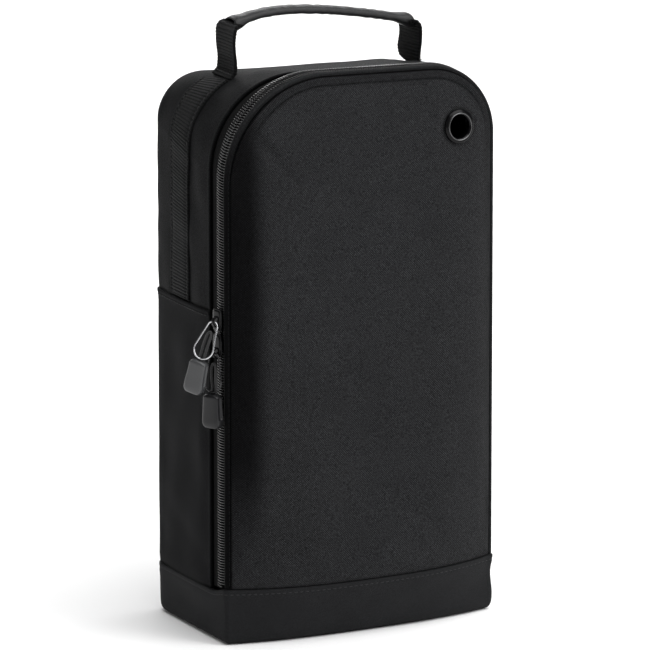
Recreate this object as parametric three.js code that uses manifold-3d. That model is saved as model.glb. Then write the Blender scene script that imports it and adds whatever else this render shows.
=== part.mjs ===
// Shoe bag: a tall soft box with a domed front that unzips on three sides, two zipper sliders with
// ring pulls, a webbing handle and one eyelet. Millimetres, +Z up, front towards -Y.
// The origin is the centre of the underside of the base panel's footprint, on the floor.
import * as THREE from "three";
import Module from "manifold-3d";
import { mergeVertices } from "three/addons/utils/BufferGeometryUtils.js";

const wasm = await Module();
wasm.setup();

// ---------------------------------------------------------------- driving dimensions
const gap = 0.3; // left between touching solids

// Bag body
const bagWidth = 190;
const bagHeight = 360; // top of the gusset at its front edge
const backDrop = 8; // how much lower the top is at the back
const sideDepth = 102; // back face to the corner where the front begins
const bellyDepth = 20; // how far the front stands out, at the bottom band
const floorBelly = 8; // the same, at the floor
const frontCornerRadius = 54; // top corners of the front outline
const backCornerRadius = 26; // top corners of the back outline
const fabric = 1.8; // thickness of the padded gusset, sides, border and band
const panelThickness = 2.2; // front and back panels
const bandHeight = 36;
const backEdgeRadius = 12; // vertical back edges of the bottom band
const sideSeamHeight = 211; // seam between the upper gusset and the lower side panels
const baseThickness = 1.8;
const boardThickness = 2;
const boardMargin = 3; // the board is this much smaller all round

// Zipper
const chainSetback = 9; // from the front corner to the middle of the teeth
const chainTilt = THREE.MathUtils.degToRad(8); // the chain faces this much towards the front
const tapeThickness = 0.8;
const rowWidth = 3.4;
const rowGap = 1.2; // between the two rows, where a slider's post runs
const rowHeight = 2.6;
const tapeReveal = 2.5; // tape seen between a row and the fabric's edge
const tapeHem = 4.5; // tape hidden under the gusset
const borderWidth = 7.3; // border strip seen from the front

// Sliders
const sliderLength = 15;
const sliderPlate = 1.2;
const sliderLift = 0.9; // between the teeth and the top plate
const sliderOverhang = 0.7; // plate beyond the rows on each side
const postThickness = 0.6;
const bridgeWidth = 2;
const bridgeLength = 7.4;
const bridgeSlot = 3; // height of the hole that the ring passes through
const bridgeThickness = 1;
const upperSliderHeight = 208.2; // middle of the upper slider
const sliderSpacing = 15.6; // upper to lower slider, butted together
const ringWire = 1.3;
const ringLength = 24.5; // along the middle of the wire
const ringTopRadius = 3.5;
const ringBottomRadius = 6.6;
const cordDiameter = 1.7;
const cordHalfWidth = 1.5;
const tabLength = 21.5;
const tabTopWidth = 10.8;
const tabBottomWidth = 12.6;
const tabTopThickness = 6.4;
const tabBottomThickness = 7.6;
const tabDrop = 1.7; // ring's lowest wire to the top of the tab
// How each pull hangs: turned about the vertical, swung sideways, leaning outwards (degrees).
const pulls = {
  upper: { turn: 24, sway: 13, lean: 21, bridgeAt: -0.7 },
  lower: { turn: 16, sway: 4, lean: 8, bridgeAt: -5.1 },
};

// Webbing and handle
const webbingWidth = 25;
const webbingThickness = 1.6;
const webbingSetback = 28.5; // back face to the webbing's back edge
const legSpacing = 130; // between the handle's two legs
const legLength = 24;
const gripRise = 7; // the grip's arch
const gripWidth = 15;
const gripThickness = 6.6;
const gripWall = 1.2;
const gripInset = 3.5; // each grip end stops this far inside its leg

// Eyelet
const eyeletSide = 67; // from the middle of the bag
const eyeletHeight = 320;
const eyeletHole = 14.6; // clear diameter
const eyeletFlange = 23.4;
const eyeletBarrel = 1.1; // wall of the barrel
const eyeletPlate = 0.9; // thickness of the washer

// ---------------------------------------------------------------- worked out from those
const backY = (sideDepth + bellyDepth) / 2;
const frontY = backY - sideDepth;
const sideX = bagWidth / 2;
const chainY = frontY + chainSetback;
const rowOuter = rowGap / 2 + rowWidth;
const chainTop = gap + rowHeight; // height of the teeth above the tape
const gussetFrontY = chainY + rowOuter + tapeReveal - gap;
const gussetBackY = backY - panelThickness - gap;
// The tape lies just under the gusset's inner face where the gusset's edge crosses it.
const chainInset = fabric + gap + (rowOuter + tapeReveal) * Math.sin(chainTilt);
const panelHalfWidth = sideX - borderWidth;
const panelTop = bagHeight - borderWidth;
const panelCornerRadius = frontCornerRadius - borderWidth;
const webbingBackY = backY - webbingSetback;
const webbingFrontY = webbingBackY - webbingWidth;
const webbingY = webbingBackY - webbingWidth / 2;
const handlePivotZ = archHeight(legSpacing / 2, webbingY) + webbingThickness + 4 * gap;

const cornerSteps = 10; // facets in each rounded top corner
const quarter = Math.PI / 2;

// ---------------------------------------------------------------- materials
function finish(color, roughness, metalness = 0) {
  return new THREE.MeshStandardMaterial({ color, roughness, metalness });
}

const finishes = {
  weave: finish(0x232427, 0.85),
  smoothFabric: finish(0x1c1d20, 0.75),
  webbing: finish(0x17181a, 0.8),
  tape: finish(0x121315, 0.85),
  teeth: finish(0x1a1a1c, 0.35),
  board: finish(0x2a2a2a, 0.9),
  eyelet: finish(0x141416, 0.3, 0.9),
  slider: finish(0x18181a, 0.4, 0.7),
  wire: finish(0xc9cacc, 0.2, 1),
  cord: finish(0x0f0f10, 0.8),
  rubber: finish(0x3a3b3d, 0.5),
};

// ---------------------------------------------------------------- solid helpers
function signedVolume(positions, index) {
  const a = new THREE.Vector3();
  const b = new THREE.Vector3();
  const c = new THREE.Vector3();
  let total = 0;
  for (let i = 0; i < index.length; i += 3) {
    a.fromArray(positions, 3 * index[i]);
    b.fromArray(positions, 3 * index[i + 1]);
    c.fromArray(positions, 3 * index[i + 2]);
    total += a.dot(b.cross(c)) / 6;
  }
  return total;
}

function solidFrom(points, index) {
  const positions = points.flatMap((point) => [point.x, point.y, point.z]);
  if (signedVolume(positions, index) < 0) {
    for (let i = 0; i < index.length; i += 3) {
      [index[i + 1], index[i + 2]] = [index[i + 2], index[i + 1]];
    }
  }
  const geometry = new THREE.BufferGeometry();
  geometry.setAttribute("position", new THREE.Float32BufferAttribute(positions, 3));
  geometry.setIndex(index);
  return geometry;
}

// Triangles of a flat outline, all turning the same way as the outline.
function capTriangles(outline) {
  const turn = Math.sign(THREE.ShapeUtils.area(outline));
  return THREE.ShapeUtils.triangulateShape(outline, []).map(([a, b, c]) => {
    const area = THREE.ShapeUtils.area([outline[a], outline[b], outline[c]]);
    return Math.sign(area) === turn ? [a, b, c] : [a, c, b];
  });
}

// Skins a row of rings, each with the same number of points. With no outline the row closes on itself.
function loft(rings, outline = null) {
  const count = rings[0].length;
  const spans = outline ? rings.length - 1 : rings.length;
  const index = [];
  for (let ring = 0; ring < spans; ring++) {
    const near = ring * count;
    const far = ((ring + 1) % rings.length) * count;
    for (let i = 0; i < count; i++) {
      const next = (i + 1) % count;
      index.push(near + i, near + next, far + next, near + i, far + next, far + i);
    }
  }
  if (outline) {
    const last = (rings.length - 1) * count;
    for (const [a, b, c] of capTriangles(outline)) {
      index.push(a, c, b, last + a, last + b, last + c);
    }
  }
  return solidFrom(rings.flat(), index);
}

function toManifold(geometry) {
  const bare = geometry.clone();
  bare.deleteAttribute("normal");
  bare.deleteAttribute("uv");
  const merged = mergeVertices(bare, 1e-4);
  const vertProperties = new Float32Array(merged.attributes.position.array);
  const triVerts = new Uint32Array(merged.index.array);
  return new wasm.Manifold(new wasm.Mesh({ numProp: 3, vertProperties, triVerts }));
}

function fromManifold(manifold) {
  const mesh = manifold.getMesh();
  const geometry = new THREE.BufferGeometry();
  geometry.setAttribute("position", new THREE.Float32BufferAttribute(mesh.vertProperties, 3));
  geometry.setIndex([...mesh.triVerts]);
  return geometry;
}

function extrude(outline, depth) {
  const shape = new THREE.Shape(outline);
  return new THREE.ExtrudeGeometry(shape, { depth, bevelEnabled: false, curveSegments: 8 });
}

function named(name, geometry, material) {
  const mesh = new THREE.Mesh(geometry, material);
  mesh.name = name;
  return mesh;
}

function steps(count) {
  return Array.from({ length: count + 1 }, (_, i) => i / count);
}

// ---------------------------------------------------------------- the bag's outline
// Seen from the front the bag is an arch: two upright sides, two rounded corners and a top.
// The top falls and its corners tighten towards the back.
function topAt(y) {
  return bagHeight - (backDrop * (y - frontY)) / sideDepth;
}

function cornerRadiusAt(y) {
  return frontCornerRadius + ((backCornerRadius - frontCornerRadius) * (y - frontY)) / sideDepth;
}

function archHeight(x, y) {
  const radius = cornerRadiusAt(y);
  const past = Math.max(0, x - (sideX - radius));
  return topAt(y) - radius + Math.sqrt(radius ** 2 - past ** 2);
}

// A station is a place along the arch: a height on a side, or an angle round a corner.
function archPoint(station, y, inset) {
  const { side } = station;
  if ("height" in station) return new THREE.Vector3(side * (sideX - inset), y, station.height);
  const radius = cornerRadiusAt(y);
  const reach = radius - inset;
  const x = sideX - radius + reach * Math.cos(station.angle);
  return new THREE.Vector3(side * x, y, topAt(y) - radius + reach * Math.sin(station.angle));
}

function cornerStations(side, fraction = 1) {
  const count = Math.round(cornerSteps * fraction);
  return steps(count).map((part) => ({ side, angle: (part * count * quarter) / cornerSteps }));
}

function wholeArch(footHeight) {
  return [
    { side: -1, height: footHeight },
    ...cornerStations(-1),
    ...cornerStations(1).reverse(),
    { side: 1, height: footHeight },
  ];
}

// Sweeps a section, given as [y, inset] points, along stations of the arch.
function archSweep(section, stations) {
  const rings = stations.map((station) => section.map(([y, inset]) => archPoint(station, y, inset)));
  return loft(rings, section.map(([y, inset]) => new THREE.Vector2(y, inset)));
}

function stripSection(frontEdge, backEdge, inset, thickness) {
  return [
    [frontEdge, inset],
    [backEdge, inset],
    [backEdge, inset + thickness],
    [frontEdge, inset + thickness],
  ];
}

// How far the front stands out: across runs from -1 to 1 between the border's two edges.
function bellyAt(across, z) {
  const round = 1 - Math.abs(across) ** 2.6;
  if (z <= bandHeight) return round * (floorBelly + ((bellyDepth - floorBelly) * z) / bandHeight);
  const up = (z - bandHeight) / (panelTop - bandHeight);
  return round * bellyDepth * (1 - 0.22 * Math.sin(Math.PI * up)) * (1 - up ** 4);
}

// ---------------------------------------------------------------- bag shell
const panelFoot = bandHeight + gap;

function backPanel() {
  const stations = wholeArch(panelFoot);
  const rings = [backY - panelThickness, backY].map((y) =>
    stations.map((station) => archPoint(station, y, 0)));
  const outline = rings[0].map((point) => new THREE.Vector2(point.x, point.z));
  return loft(rings, outline);
}

function upperGusset() {
  const section = stripSection(gussetFrontY, gussetBackY, 0, fabric);
  return archSweep(section, wholeArch(sideSeamHeight + gap));
}

function lowerSide(side) {
  const section = stripSection(gussetFrontY, gussetBackY, 0, fabric);
  const stations = [panelFoot, sideSeamHeight].map((height) => ({ side, height }));
  return archSweep(section, stations);
}

function backBinding() {
  const width = 6;
  const thickness = 1.2;
  const edge = gussetBackY - width;
  const section = stripSection(edge, gussetBackY, fabric + gap, thickness);
  return archSweep(section, wholeArch(panelFoot));
}

// The band's outline in plan, at a height, drawn anticlockwise from the middle of the back.
function bandOutline(z, inset) {
  const points = [];
  const corner = (centreX, centreY, radius, start) => {
    for (const part of steps(6)) {
      const angle = start + part * quarter;
      const x = centreX + (radius - inset) * Math.cos(angle);
      points.push(new THREE.Vector3(x, centreY + (radius - inset) * Math.sin(angle), z));
    }
  };
  const backX = sideX - backEdgeRadius;
  corner(backX, backY - backEdgeRadius, backEdgeRadius, 0);
  corner(-backX, backY - backEdgeRadius, backEdgeRadius, quarter);
  corner(-panelHalfWidth, frontY + borderWidth, borderWidth, 2 * quarter);
  for (const part of steps(20).slice(1, -1)) {
    const across = 2 * part - 1;
    points.push(new THREE.Vector3(across * panelHalfWidth, frontY - bellyAt(across, z) + inset, z));
  }
  corner(panelHalfWidth, frontY + borderWidth, borderWidth, 3 * quarter);
  return points;
}

function baseBand() {
  const rings = [
    bandOutline(0, 0),
    bandOutline(bandHeight, 0),
    bandOutline(bandHeight, fabric),
    bandOutline(0, fabric),
  ];
  return loft(rings);
}

function plateInBand(bottom, thickness, inset) {
  const rings = [bottom, bottom + thickness].map((z) =>
    bandOutline(bottom, inset).map((point) => point.setZ(z)));
  return loft(rings, rings[0].map((point) => new THREE.Vector2(point.x, point.y)));
}

function sideWebbing(side) {
  const lift = -(gap + webbingThickness);
  const section = stripSection(webbingFrontY, webbingBackY, lift, webbingThickness);
  const stations = [{ side, height: sideSeamHeight + 4 * gap }, ...cornerStations(side, 0.8)];
  return archSweep(section, stations);
}

// ---------------------------------------------------------------- zipper
// Chain frame: t across the chain towards the front, n outwards from the tape's outer face.
function chainSection(points) {
  const cos = Math.cos(chainTilt);
  const sin = Math.sin(chainTilt);
  return points.map(([t, n]) => [chainY - t * cos - n * sin, chainInset + t * sin - n * cos]);
}

function rectangle(low, high) {
  return [[low[0], low[1]], [high[0], low[1]], [high[0], high[1]], [low[0], high[1]]];
}

function teethRow(side) {
  const inner = (side * rowGap) / 2;
  const outer = side * rowOuter;
  const section = chainSection(rectangle([inner, gap], [outer, chainTop]));
  return archSweep(section, wholeArch(panelFoot + gap));
}

function flapTape() {
  const edge = rowOuter + tapeReveal - gap;
  const section = chainSection(rectangle([rowGap / 4, -tapeThickness], [edge, 0]));
  return archSweep(section, wholeArch(panelFoot + gap));
}

// The body's tape bends where it passes under the gusset, and runs on along its inner face.
function bodyTape() {
  const edge = rowOuter + tapeReveal;
  const seen = chainSection([[-edge, 0], [-rowGap / 4, 0], [-rowGap / 4, -tapeThickness],
    [-edge, -tapeThickness]]);
  const hem = seen[0][0] + tapeHem;
  const section = [...seen, [hem, seen[3][1]], [hem, seen[0][1]]];
  return archSweep(section, wholeArch(panelFoot + gap));
}

// ---------------------------------------------------------------- front flap
function frontBorder() {
  const edge = chainY - rowOuter - tapeReveal + 2 * gap;
  const face = frontY - 0.6;
  const section = [
    [edge, 0.4], [frontY + 0.9, 0.8], [frontY - 0.3, 2.6], [face, borderWidth - gap],
    [face + fabric, borderWidth - gap], [frontY + 1.4, 3.6], [edge - 0.6, 0.4 + fabric],
    [edge, 0.4 + fabric],
  ];
  return archSweep(section, wholeArch(panelFoot + gap));
}

function panelHalfWidthAt(z) {
  const past = z - (panelTop - panelCornerRadius);
  if (past <= 0) return panelHalfWidth;
  return panelHalfWidth - panelCornerRadius + Math.sqrt(Math.max(0, panelCornerRadius ** 2 - past ** 2));
}

function panelPoint(across, z, depth) {
  const y = frontY - 2 * gap - bellyAt(across, z) + depth;
  return new THREE.Vector3(across * panelHalfWidthAt(z), y, z);
}

function frontPanel() {
  const foot = panelFoot + gap;
  const shoulder = panelTop - panelCornerRadius;
  const heights = [
    ...steps(12).map((part) => foot + part * (shoulder - foot)),
    ...steps(8).slice(1).map((part) => shoulder + panelCornerRadius * Math.sin(part * quarter)),
  ];
  const columns = steps(20).map((part) => 2 * part - 1);
  const rings = heights.map((z) => [
    ...columns.map((across) => panelPoint(across, z, 0)),
    ...columns.toReversed().map((across) => panelPoint(across, z, panelThickness)),
  ]);
  const outline = rings[0].map((point) => new THREE.Vector2(point.x, point.y));
  return loft(rings, outline);
}

// The eyelet's frame stands on the panel's outer face, its +Y out of the panel.
function eyeletFrame() {
  const place = (x, z) => panelPoint(x / panelHalfWidthAt(z), z, 0);
  const reach = eyeletFlange / 2;
  const right = place(eyeletSide + reach, eyeletHeight).sub(place(eyeletSide - reach, eyeletHeight));
  const up = place(eyeletSide, eyeletHeight + reach).sub(place(eyeletSide, eyeletHeight - reach));
  const out = right.cross(up).normalize();
  const frame = new THREE.Group();
  frame.position.copy(place(eyeletSide, eyeletHeight));
  frame.quaternion.setFromUnitVectors(new THREE.Vector3(0, 1, 0), out);
  frame.updateMatrix();
  return frame;
}

function ringOf(profile) {
  const points = profile.map(([radius, height]) => new THREE.Vector2(radius, height));
  return new THREE.LatheGeometry([...points, points[0].clone()], 40);
}

const eyeletInner = eyeletHole / 2;
const eyeletOuter = eyeletFlange / 2;
const eyeletClear = 0.6; // between the eyelet and the curved panel

function eyeletFront() {
  const barrel = eyeletInner + eyeletBarrel;
  const foot = eyeletClear;
  const end = -(panelThickness + 2 * eyeletClear + eyeletPlate);
  return ringOf([
    [eyeletInner, end], [barrel, end], [barrel, foot], [eyeletOuter, foot],
    [eyeletOuter, foot + 0.7], [eyeletOuter - 1.6, foot + 1.6], [eyeletInner + 2, foot + 2.2],
    [eyeletInner + 0.6, foot + 1.6], [eyeletInner, foot + 0.5],
  ]);
}

function eyeletBack() {
  const inner = eyeletInner + eyeletBarrel + gap;
  const near = -(panelThickness + eyeletClear);
  return ringOf([[inner, near - eyeletPlate], [eyeletOuter, near - eyeletPlate],
    [eyeletOuter, near], [inner, near]]);
}

function panelWithHole(frame) {
  const drill = new THREE.CylinderGeometry(1, 1, 6 * panelThickness, 40);
  drill.scale(eyeletInner + eyeletBarrel + gap, 1, eyeletInner + eyeletBarrel + gap);
  drill.applyMatrix4(frame.matrix);
  return fromManifold(toManifold(frontPanel()).subtract(toManifold(drill)));
}

// ---------------------------------------------------------------- sliders and pulls
// In the slider's frame X is t, -Y is n and Z runs up the chain.
const plateBottom = chainTop + sliderLift;
const plateTop = plateBottom + sliderPlate;
const ringAxis = plateTop + gap + bridgeSlot / 2;
const plateHalf = rowOuter + sliderOverhang;

// The slider is one casting: top plate, post and bottom plate. Its flange is on the body's side
// only, so that the flap's row can leave it sideways.
function sliderBody() {
  const half = postThickness / 2;
  const under = -(tapeThickness + gap);
  const low = under - sliderPlate;
  const flangeIn = -(rowOuter + gap);
  const profile = [
    [-plateHalf, plateTop], [-plateHalf, 2 * gap], [flangeIn, 2 * gap], [flangeIn, plateBottom],
    [-half, plateBottom], [-half, under], [-rowOuter, under], [-rowOuter, low], [rowOuter, low],
    [rowOuter, under], [half, under], [half, plateBottom], [plateHalf, plateBottom],
    [plateHalf, plateTop],
  ];
  const block = extrude(profile.map(([t, n]) => new THREE.Vector2(t, -n)), sliderLength);
  block.translate(0, 0, -sliderLength / 2);
  // Seen from above, the corners are cut to a shield.
  const end = sliderLength / 2;
  const shield = [[-plateHalf, -end + 2], [-plateHalf + 1.6, -end], [plateHalf - 1.6, -end],
    [plateHalf, -end + 2], [plateHalf, end - 3], [plateHalf - 2.2, end], [-plateHalf + 2.2, end],
    [-plateHalf, end - 3]];
  const cutter = extrude(shield.map(([t, z]) => new THREE.Vector2(t, z)), 12);
  cutter.rotateX(quarter);
  cutter.translate(0, 4, 0);
  return fromManifold(toManifold(block).intersect(toManifold(cutter)));
}

function bridge() {
  const foot = plateTop + gap;
  const top = foot + bridgeSlot;
  const half = bridgeLength / 2;
  const arch = [
    [-half, foot], [-half, top - 0.4], [-half + 1, top + bridgeThickness],
    [half - 1, top + bridgeThickness], [half, top - 0.4], [half, foot],
    [half - bridgeThickness, foot], [half - bridgeThickness, top], [-half + bridgeThickness, top],
    [-half + bridgeThickness, foot],
  ];
  const geometry = extrude(arch.map(([z, n]) => new THREE.Vector2(z, -n)), bridgeWidth);
  geometry.translate(0, 0, -bridgeWidth / 2);
  // The outline was drawn as (z, -n): turn it so that its first axis runs up the chain.
  geometry.rotateY(-quarter);
  return geometry;
}

// In a pull's frame the ring hangs from the origin along -Z, X runs across and -Y faces outwards.
function pullRing() {
  const sink = Math.asin((ringBottomRadius - ringTopRadius) /
    (ringLength - ringBottomRadius - ringTopRadius));
  const tangent = quarter - sink;
  const path = [];
  const arc = (centre, radius, from, to, count) => {
    for (const part of steps(count)) {
      const angle = from + part * (to - from);
      path.push([centre, radius, angle]);
    }
  };
  arc(ringTopRadius, ringTopRadius, -tangent, tangent, 7);
  arc(ringLength - ringBottomRadius, ringBottomRadius, tangent, 4 * quarter - tangent, 13);
  const rings = path.map(([centre, radius, angle]) => steps(8).slice(1).map((part) => {
    const turn = part * 4 * quarter;
    const reach = radius + (ringWire / 2) * Math.cos(turn);
    return new THREE.Vector3(reach * Math.sin(angle), (ringWire / 2) * Math.sin(turn),
      -centre + reach * Math.cos(angle));
  }));
  return loft(rings);
}

// The cord hangs inside the ring and passes behind its lowest wire into the tab.
function pullCord() {
  const behind = ringWire / 2 + cordDiameter / 2 + gap;
  const leg = [
    [cordHalfWidth, behind, -ringLength - tabDrop + 4 * gap],
    [cordHalfWidth, behind, -ringLength + 0.3],
    [cordHalfWidth, behind * 0.9, -ringLength + 3.5],
    [cordHalfWidth, 0.2, -ringLength + 9],
    [cordHalfWidth, 0, -ringTopRadius - 4.5],
  ];
  const bight = [[0, 0, -ringTopRadius - 2.4]];
  const back = leg.map(([x, y, z]) => [-x, y, z]).reverse();
  const route = new THREE.CatmullRomCurve3(
    [...leg, ...bight, ...back].map((point) => new THREE.Vector3(...point)));
  const section = steps(8).slice(1).map((part) => {
    const turn = part * 4 * quarter;
    return new THREE.Vector2(Math.cos(turn), Math.sin(turn)).multiplyScalar(cordDiameter / 2);
  });
  return new THREE.ExtrudeGeometry(new THREE.Shape(section), { steps: 26, extrudePath: route });
}

function roundedSection(width, thickness, z) {
  const radius = thickness * 0.34;
  const points = [];
  const corners = [[1, 1, 0], [-1, 1, quarter], [-1, -1, 2 * quarter], [1, -1, 3 * quarter]];
  for (const [sideways, through, start] of corners) {
    for (const part of steps(3)) {
      const angle = start + part * quarter;
      const x = sideways * (width / 2 - radius) + radius * Math.cos(angle);
      const y = through * (thickness / 2 - radius) + radius * Math.sin(angle);
      points.push(new THREE.Vector3(x, y, z));
    }
  }
  return points;
}

function pullTab() {
  const taper = [[0, 0.86], [0.04, 1], [0.35, 1], [0.7, 1], [0.9, 0.97], [0.97, 0.85], [1, 0.62]];
  const rings = taper.map(([part, fill]) => {
    const width = tabTopWidth + part * (tabBottomWidth - tabTopWidth);
    const thickness = tabTopThickness + part * (tabBottomThickness - tabTopThickness);
    return roundedSection(width * fill, thickness * fill, -tabDrop - part * tabLength);
  });
  return loft(rings, rings[0].map((point) => new THREE.Vector2(point.x, point.y)));
}

// A group in the frame of the left chain, at a height.
function chainFrame(height) {
  const frame = new THREE.Group();
  frame.position.set(-(sideX - chainInset), chainY, height);
  frame.rotation.z = chainTilt - quarter;
  return frame;
}

function sliderAssembly(place, height) {
  const { turn, sway, lean, bridgeAt } = pulls[place];
  const radians = THREE.MathUtils.degToRad;
  const slider = chainFrame(height);
  slider.add(named(`slider_${place}_body`, sliderBody(), finishes.slider));
  const arch = named(`slider_${place}_bridge`, bridge(), finishes.slider);
  arch.position.z = bridgeAt;
  slider.add(arch);

  const pull = new THREE.Group();
  pull.position.set(0, -ringAxis, bridgeAt);
  pull.rotation.set(-radians(lean), radians(sway), radians(turn), "ZYX");
  pull.add(named(`slider_${place}_ring`, pullRing(), finishes.wire));
  pull.add(named(`slider_${place}_cord`, pullCord(), finishes.cord));
  slider.add(pull);

  // The tab hangs plumb from the ring's lowest point.
  const tab = named(`slider_${place}_tab`, pullTab(), finishes.rubber);
  tab.position.set(0, 0, -ringLength).applyEuler(pull.rotation).add(pull.position);
  tab.rotation.set(0, radians(sway), radians(turn), "ZYX");
  slider.add(tab);
  return slider;
}

// ---------------------------------------------------------------- handle
function handleLeg() {
  const leg = new THREE.BoxGeometry(webbingThickness, webbingWidth, legLength);
  return leg.translate(0, 0, legLength / 2);
}

function gripLine(part) {
  const reach = legSpacing / 2 - gripInset;
  const across = 2 * part - 1;
  return { x: across * reach, z: gripRise * (1 - across ** 2) };
}

function gripTube(width, thickness) {
  return steps(20).map((part) => {
    const { x, z } = gripLine(part);
    return roundedSection(width, thickness, 0).map(({ x: y, y: up }) => new THREE.Vector3(x, y, z + up));
  });
}

// The sleeve is a tube: an outer skin and an inner skin joined at both ends.
function gripSleeve() {
  const outer = gripTube(gripWidth, gripThickness);
  const inner = gripTube(gripWidth - 2 * gripWall, gripThickness - 2 * gripWall);
  return loft([...outer, ...inner.toReversed()]);
}

function gripCore() {
  const slack = 2 * (gripWall + gap);
  const rings = gripTube(gripWidth - slack, gripThickness - slack);
  return loft(rings, rings[0].map((point) => new THREE.Vector2(point.y, point.z)));
}

// ---------------------------------------------------------------- assembly
const bag = new THREE.Group();

bag.add(named("back_panel", backPanel(), finishes.weave));
bag.add(named("back_seam_binding", backBinding(), finishes.tape));
bag.add(named("upper_gusset", upperGusset(), finishes.weave));
bag.add(named("lower_side_left", lowerSide(-1), finishes.smoothFabric));
bag.add(named("lower_side_right", lowerSide(1), finishes.smoothFabric));
bag.add(named("base_band", baseBand(), finishes.smoothFabric));
bag.add(named("base_panel", plateInBand(0, baseThickness, fabric + gap), finishes.smoothFabric));
const boardInset = fabric + gap + boardMargin;
const boardHeight = baseThickness + gap;
bag.add(named("base_board", plateInBand(boardHeight, boardThickness, boardInset), finishes.board));
bag.add(named("webbing_left", sideWebbing(-1), finishes.webbing));
bag.add(named("webbing_right", sideWebbing(1), finishes.webbing));
bag.add(named("zipper_tape_body", bodyTape(), finishes.tape));
bag.add(named("zipper_teeth_body", teethRow(-1), finishes.teeth));

const eyelet = eyeletFrame();
bag.add(named("front_panel", panelWithHole(eyelet), finishes.weave));
bag.add(named("front_border", frontBorder(), finishes.smoothFabric));
bag.add(named("zipper_tape_flap", flapTape(), finishes.tape));
bag.add(named("zipper_teeth_flap", teethRow(1), finishes.teeth));
eyelet.add(named("eyelet_flange", eyeletFront(), finishes.eyelet));
eyelet.add(named("eyelet_washer", eyeletBack(), finishes.eyelet));
bag.add(eyelet);

bag.add(sliderAssembly("upper", upperSliderHeight));
bag.add(sliderAssembly("lower", upperSliderHeight - sliderSpacing));

for (const [name, side] of [["left", -1], ["right", 1]]) {
  const leg = named(`handle_leg_${name}`, handleLeg(), finishes.webbing);
  leg.position.set((side * legSpacing) / 2, webbingY, handlePivotZ);
  bag.add(leg);
}
const grip = new THREE.Group();
grip.position.set(0, webbingY, handlePivotZ + legLength);
grip.add(named("handle_grip_sleeve", gripSleeve(), finishes.smoothFabric));
grip.add(named("handle_grip_core", gripCore(), finishes.board));
bag.add(grip);

export default bag;
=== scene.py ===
"""A tall soft shoe bag: padded shell, domed front that unzips, coil zipper, ring pulls and a webbing handle.

Shapes are worked out in millimetres and turned into metres as each mesh is made. Z is up, the front faces -Y.
"""

import logging
import math
from collections.abc import Callable, Sequence
from dataclasses import dataclass
from enum import Enum

import bmesh
import bpy
import numpy as np
from mathutils import Euler, Matrix, Vector


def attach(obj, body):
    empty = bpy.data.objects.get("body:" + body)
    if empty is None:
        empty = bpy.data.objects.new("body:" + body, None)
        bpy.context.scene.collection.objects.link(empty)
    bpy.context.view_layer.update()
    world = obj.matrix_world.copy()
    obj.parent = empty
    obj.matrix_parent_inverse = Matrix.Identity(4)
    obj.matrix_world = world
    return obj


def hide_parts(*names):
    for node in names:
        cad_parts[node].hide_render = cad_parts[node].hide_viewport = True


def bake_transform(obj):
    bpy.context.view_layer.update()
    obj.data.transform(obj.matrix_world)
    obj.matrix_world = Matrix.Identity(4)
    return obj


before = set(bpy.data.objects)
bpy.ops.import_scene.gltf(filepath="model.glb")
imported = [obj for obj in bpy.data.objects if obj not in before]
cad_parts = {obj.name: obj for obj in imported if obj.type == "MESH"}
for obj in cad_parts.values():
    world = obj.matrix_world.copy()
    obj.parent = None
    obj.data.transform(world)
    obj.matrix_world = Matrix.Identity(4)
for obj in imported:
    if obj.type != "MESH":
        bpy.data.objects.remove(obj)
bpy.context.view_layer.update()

log = logging.getLogger("shoe_bag")
Array = np.ndarray
Socket = bpy.types.NodeSocket

MM = 0.001
GAP = 0.3  # clearance between neighbouring pieces
QUARTER = math.pi / 2


# ---------------------------------------------------------------- small mathematics
def smoothstep(low: float, high: float, x: Array | float) -> Array | float:
    """Rises from 0 at low to 1 at high, level at both ends."""
    t = np.clip((x - low) / (high - low), 0, 1)
    return t * t * (3 - 2 * t)


def lump(x: Array | float, centre: float, reach: float) -> Array | float:
    """A smooth bump, 1 at the centre and nearly 0 twice the reach away."""
    return np.exp(-(((x - centre) / reach) ** 2))


def roll_off(distance: Array | float, radius: float) -> Array | float:
    """How far a quarter round has dropped at a distance from its end."""
    rest = np.clip(1 - distance / radius, 0, 1)
    return radius * (1 - np.sqrt(1 - rest**2))


def ripple(u: Array, v: Array, seed: int, length: float) -> Array:
    """Soft uneven waves, as in cloth that isn't quite taut.

    Args:
        u, v: places on the cloth, in millimetres.
        seed: picks one set of waves.
        length: typical wave length, in millimetres.

    Returns:
        Heights, mostly between -1 and 1.
    """
    rng = np.random.default_rng(seed)
    total = np.zeros(np.broadcast(u, v).shape)
    for _ in range(7):
        turn = rng.uniform(0, math.pi)
        wave = length * rng.uniform(0.6, 1.7)
        phase = rng.uniform(0, 2 * math.pi)
        total = total + np.sin((u * math.cos(turn) + v * math.sin(turn)) * 2 * math.pi / wave + phase)
    return total / 3.2


def path_length(points: Array) -> Array:
    """Distance run along a row of points, starting at 0."""
    steps = np.linalg.norm(np.diff(points, axis=0), axis=1)
    return np.concatenate([[0.0], np.cumsum(steps)])


def through(values: Array, marks: Array) -> Array:
    """A smooth curve through evenly numbered values, read at the marks."""
    padded = np.concatenate([[2 * values[0] - values[1]], values, [2 * values[-1] - values[-2]]])
    k = np.minimum(marks.astype(int), len(values) - 2)
    t = marks - k
    a, b, c, d = (padded[k + i] for i in range(4))
    return 0.5 * (2 * b + (c - a) * t + (2 * a - 5 * b + 4 * c - d) * t**2 + (3 * b - a - 3 * c + d) * t**3)


def unit(vectors: Array) -> Array:
    """Vectors of length 1."""
    return vectors / np.maximum(np.linalg.norm(vectors, axis=-1, keepdims=True), 1e-12)


# ---------------------------------------------------------------- meshes
def deselect() -> None:
    """Leaves nothing selected."""
    for item in bpy.context.selected_objects:
        item.select_set(False)


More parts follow.
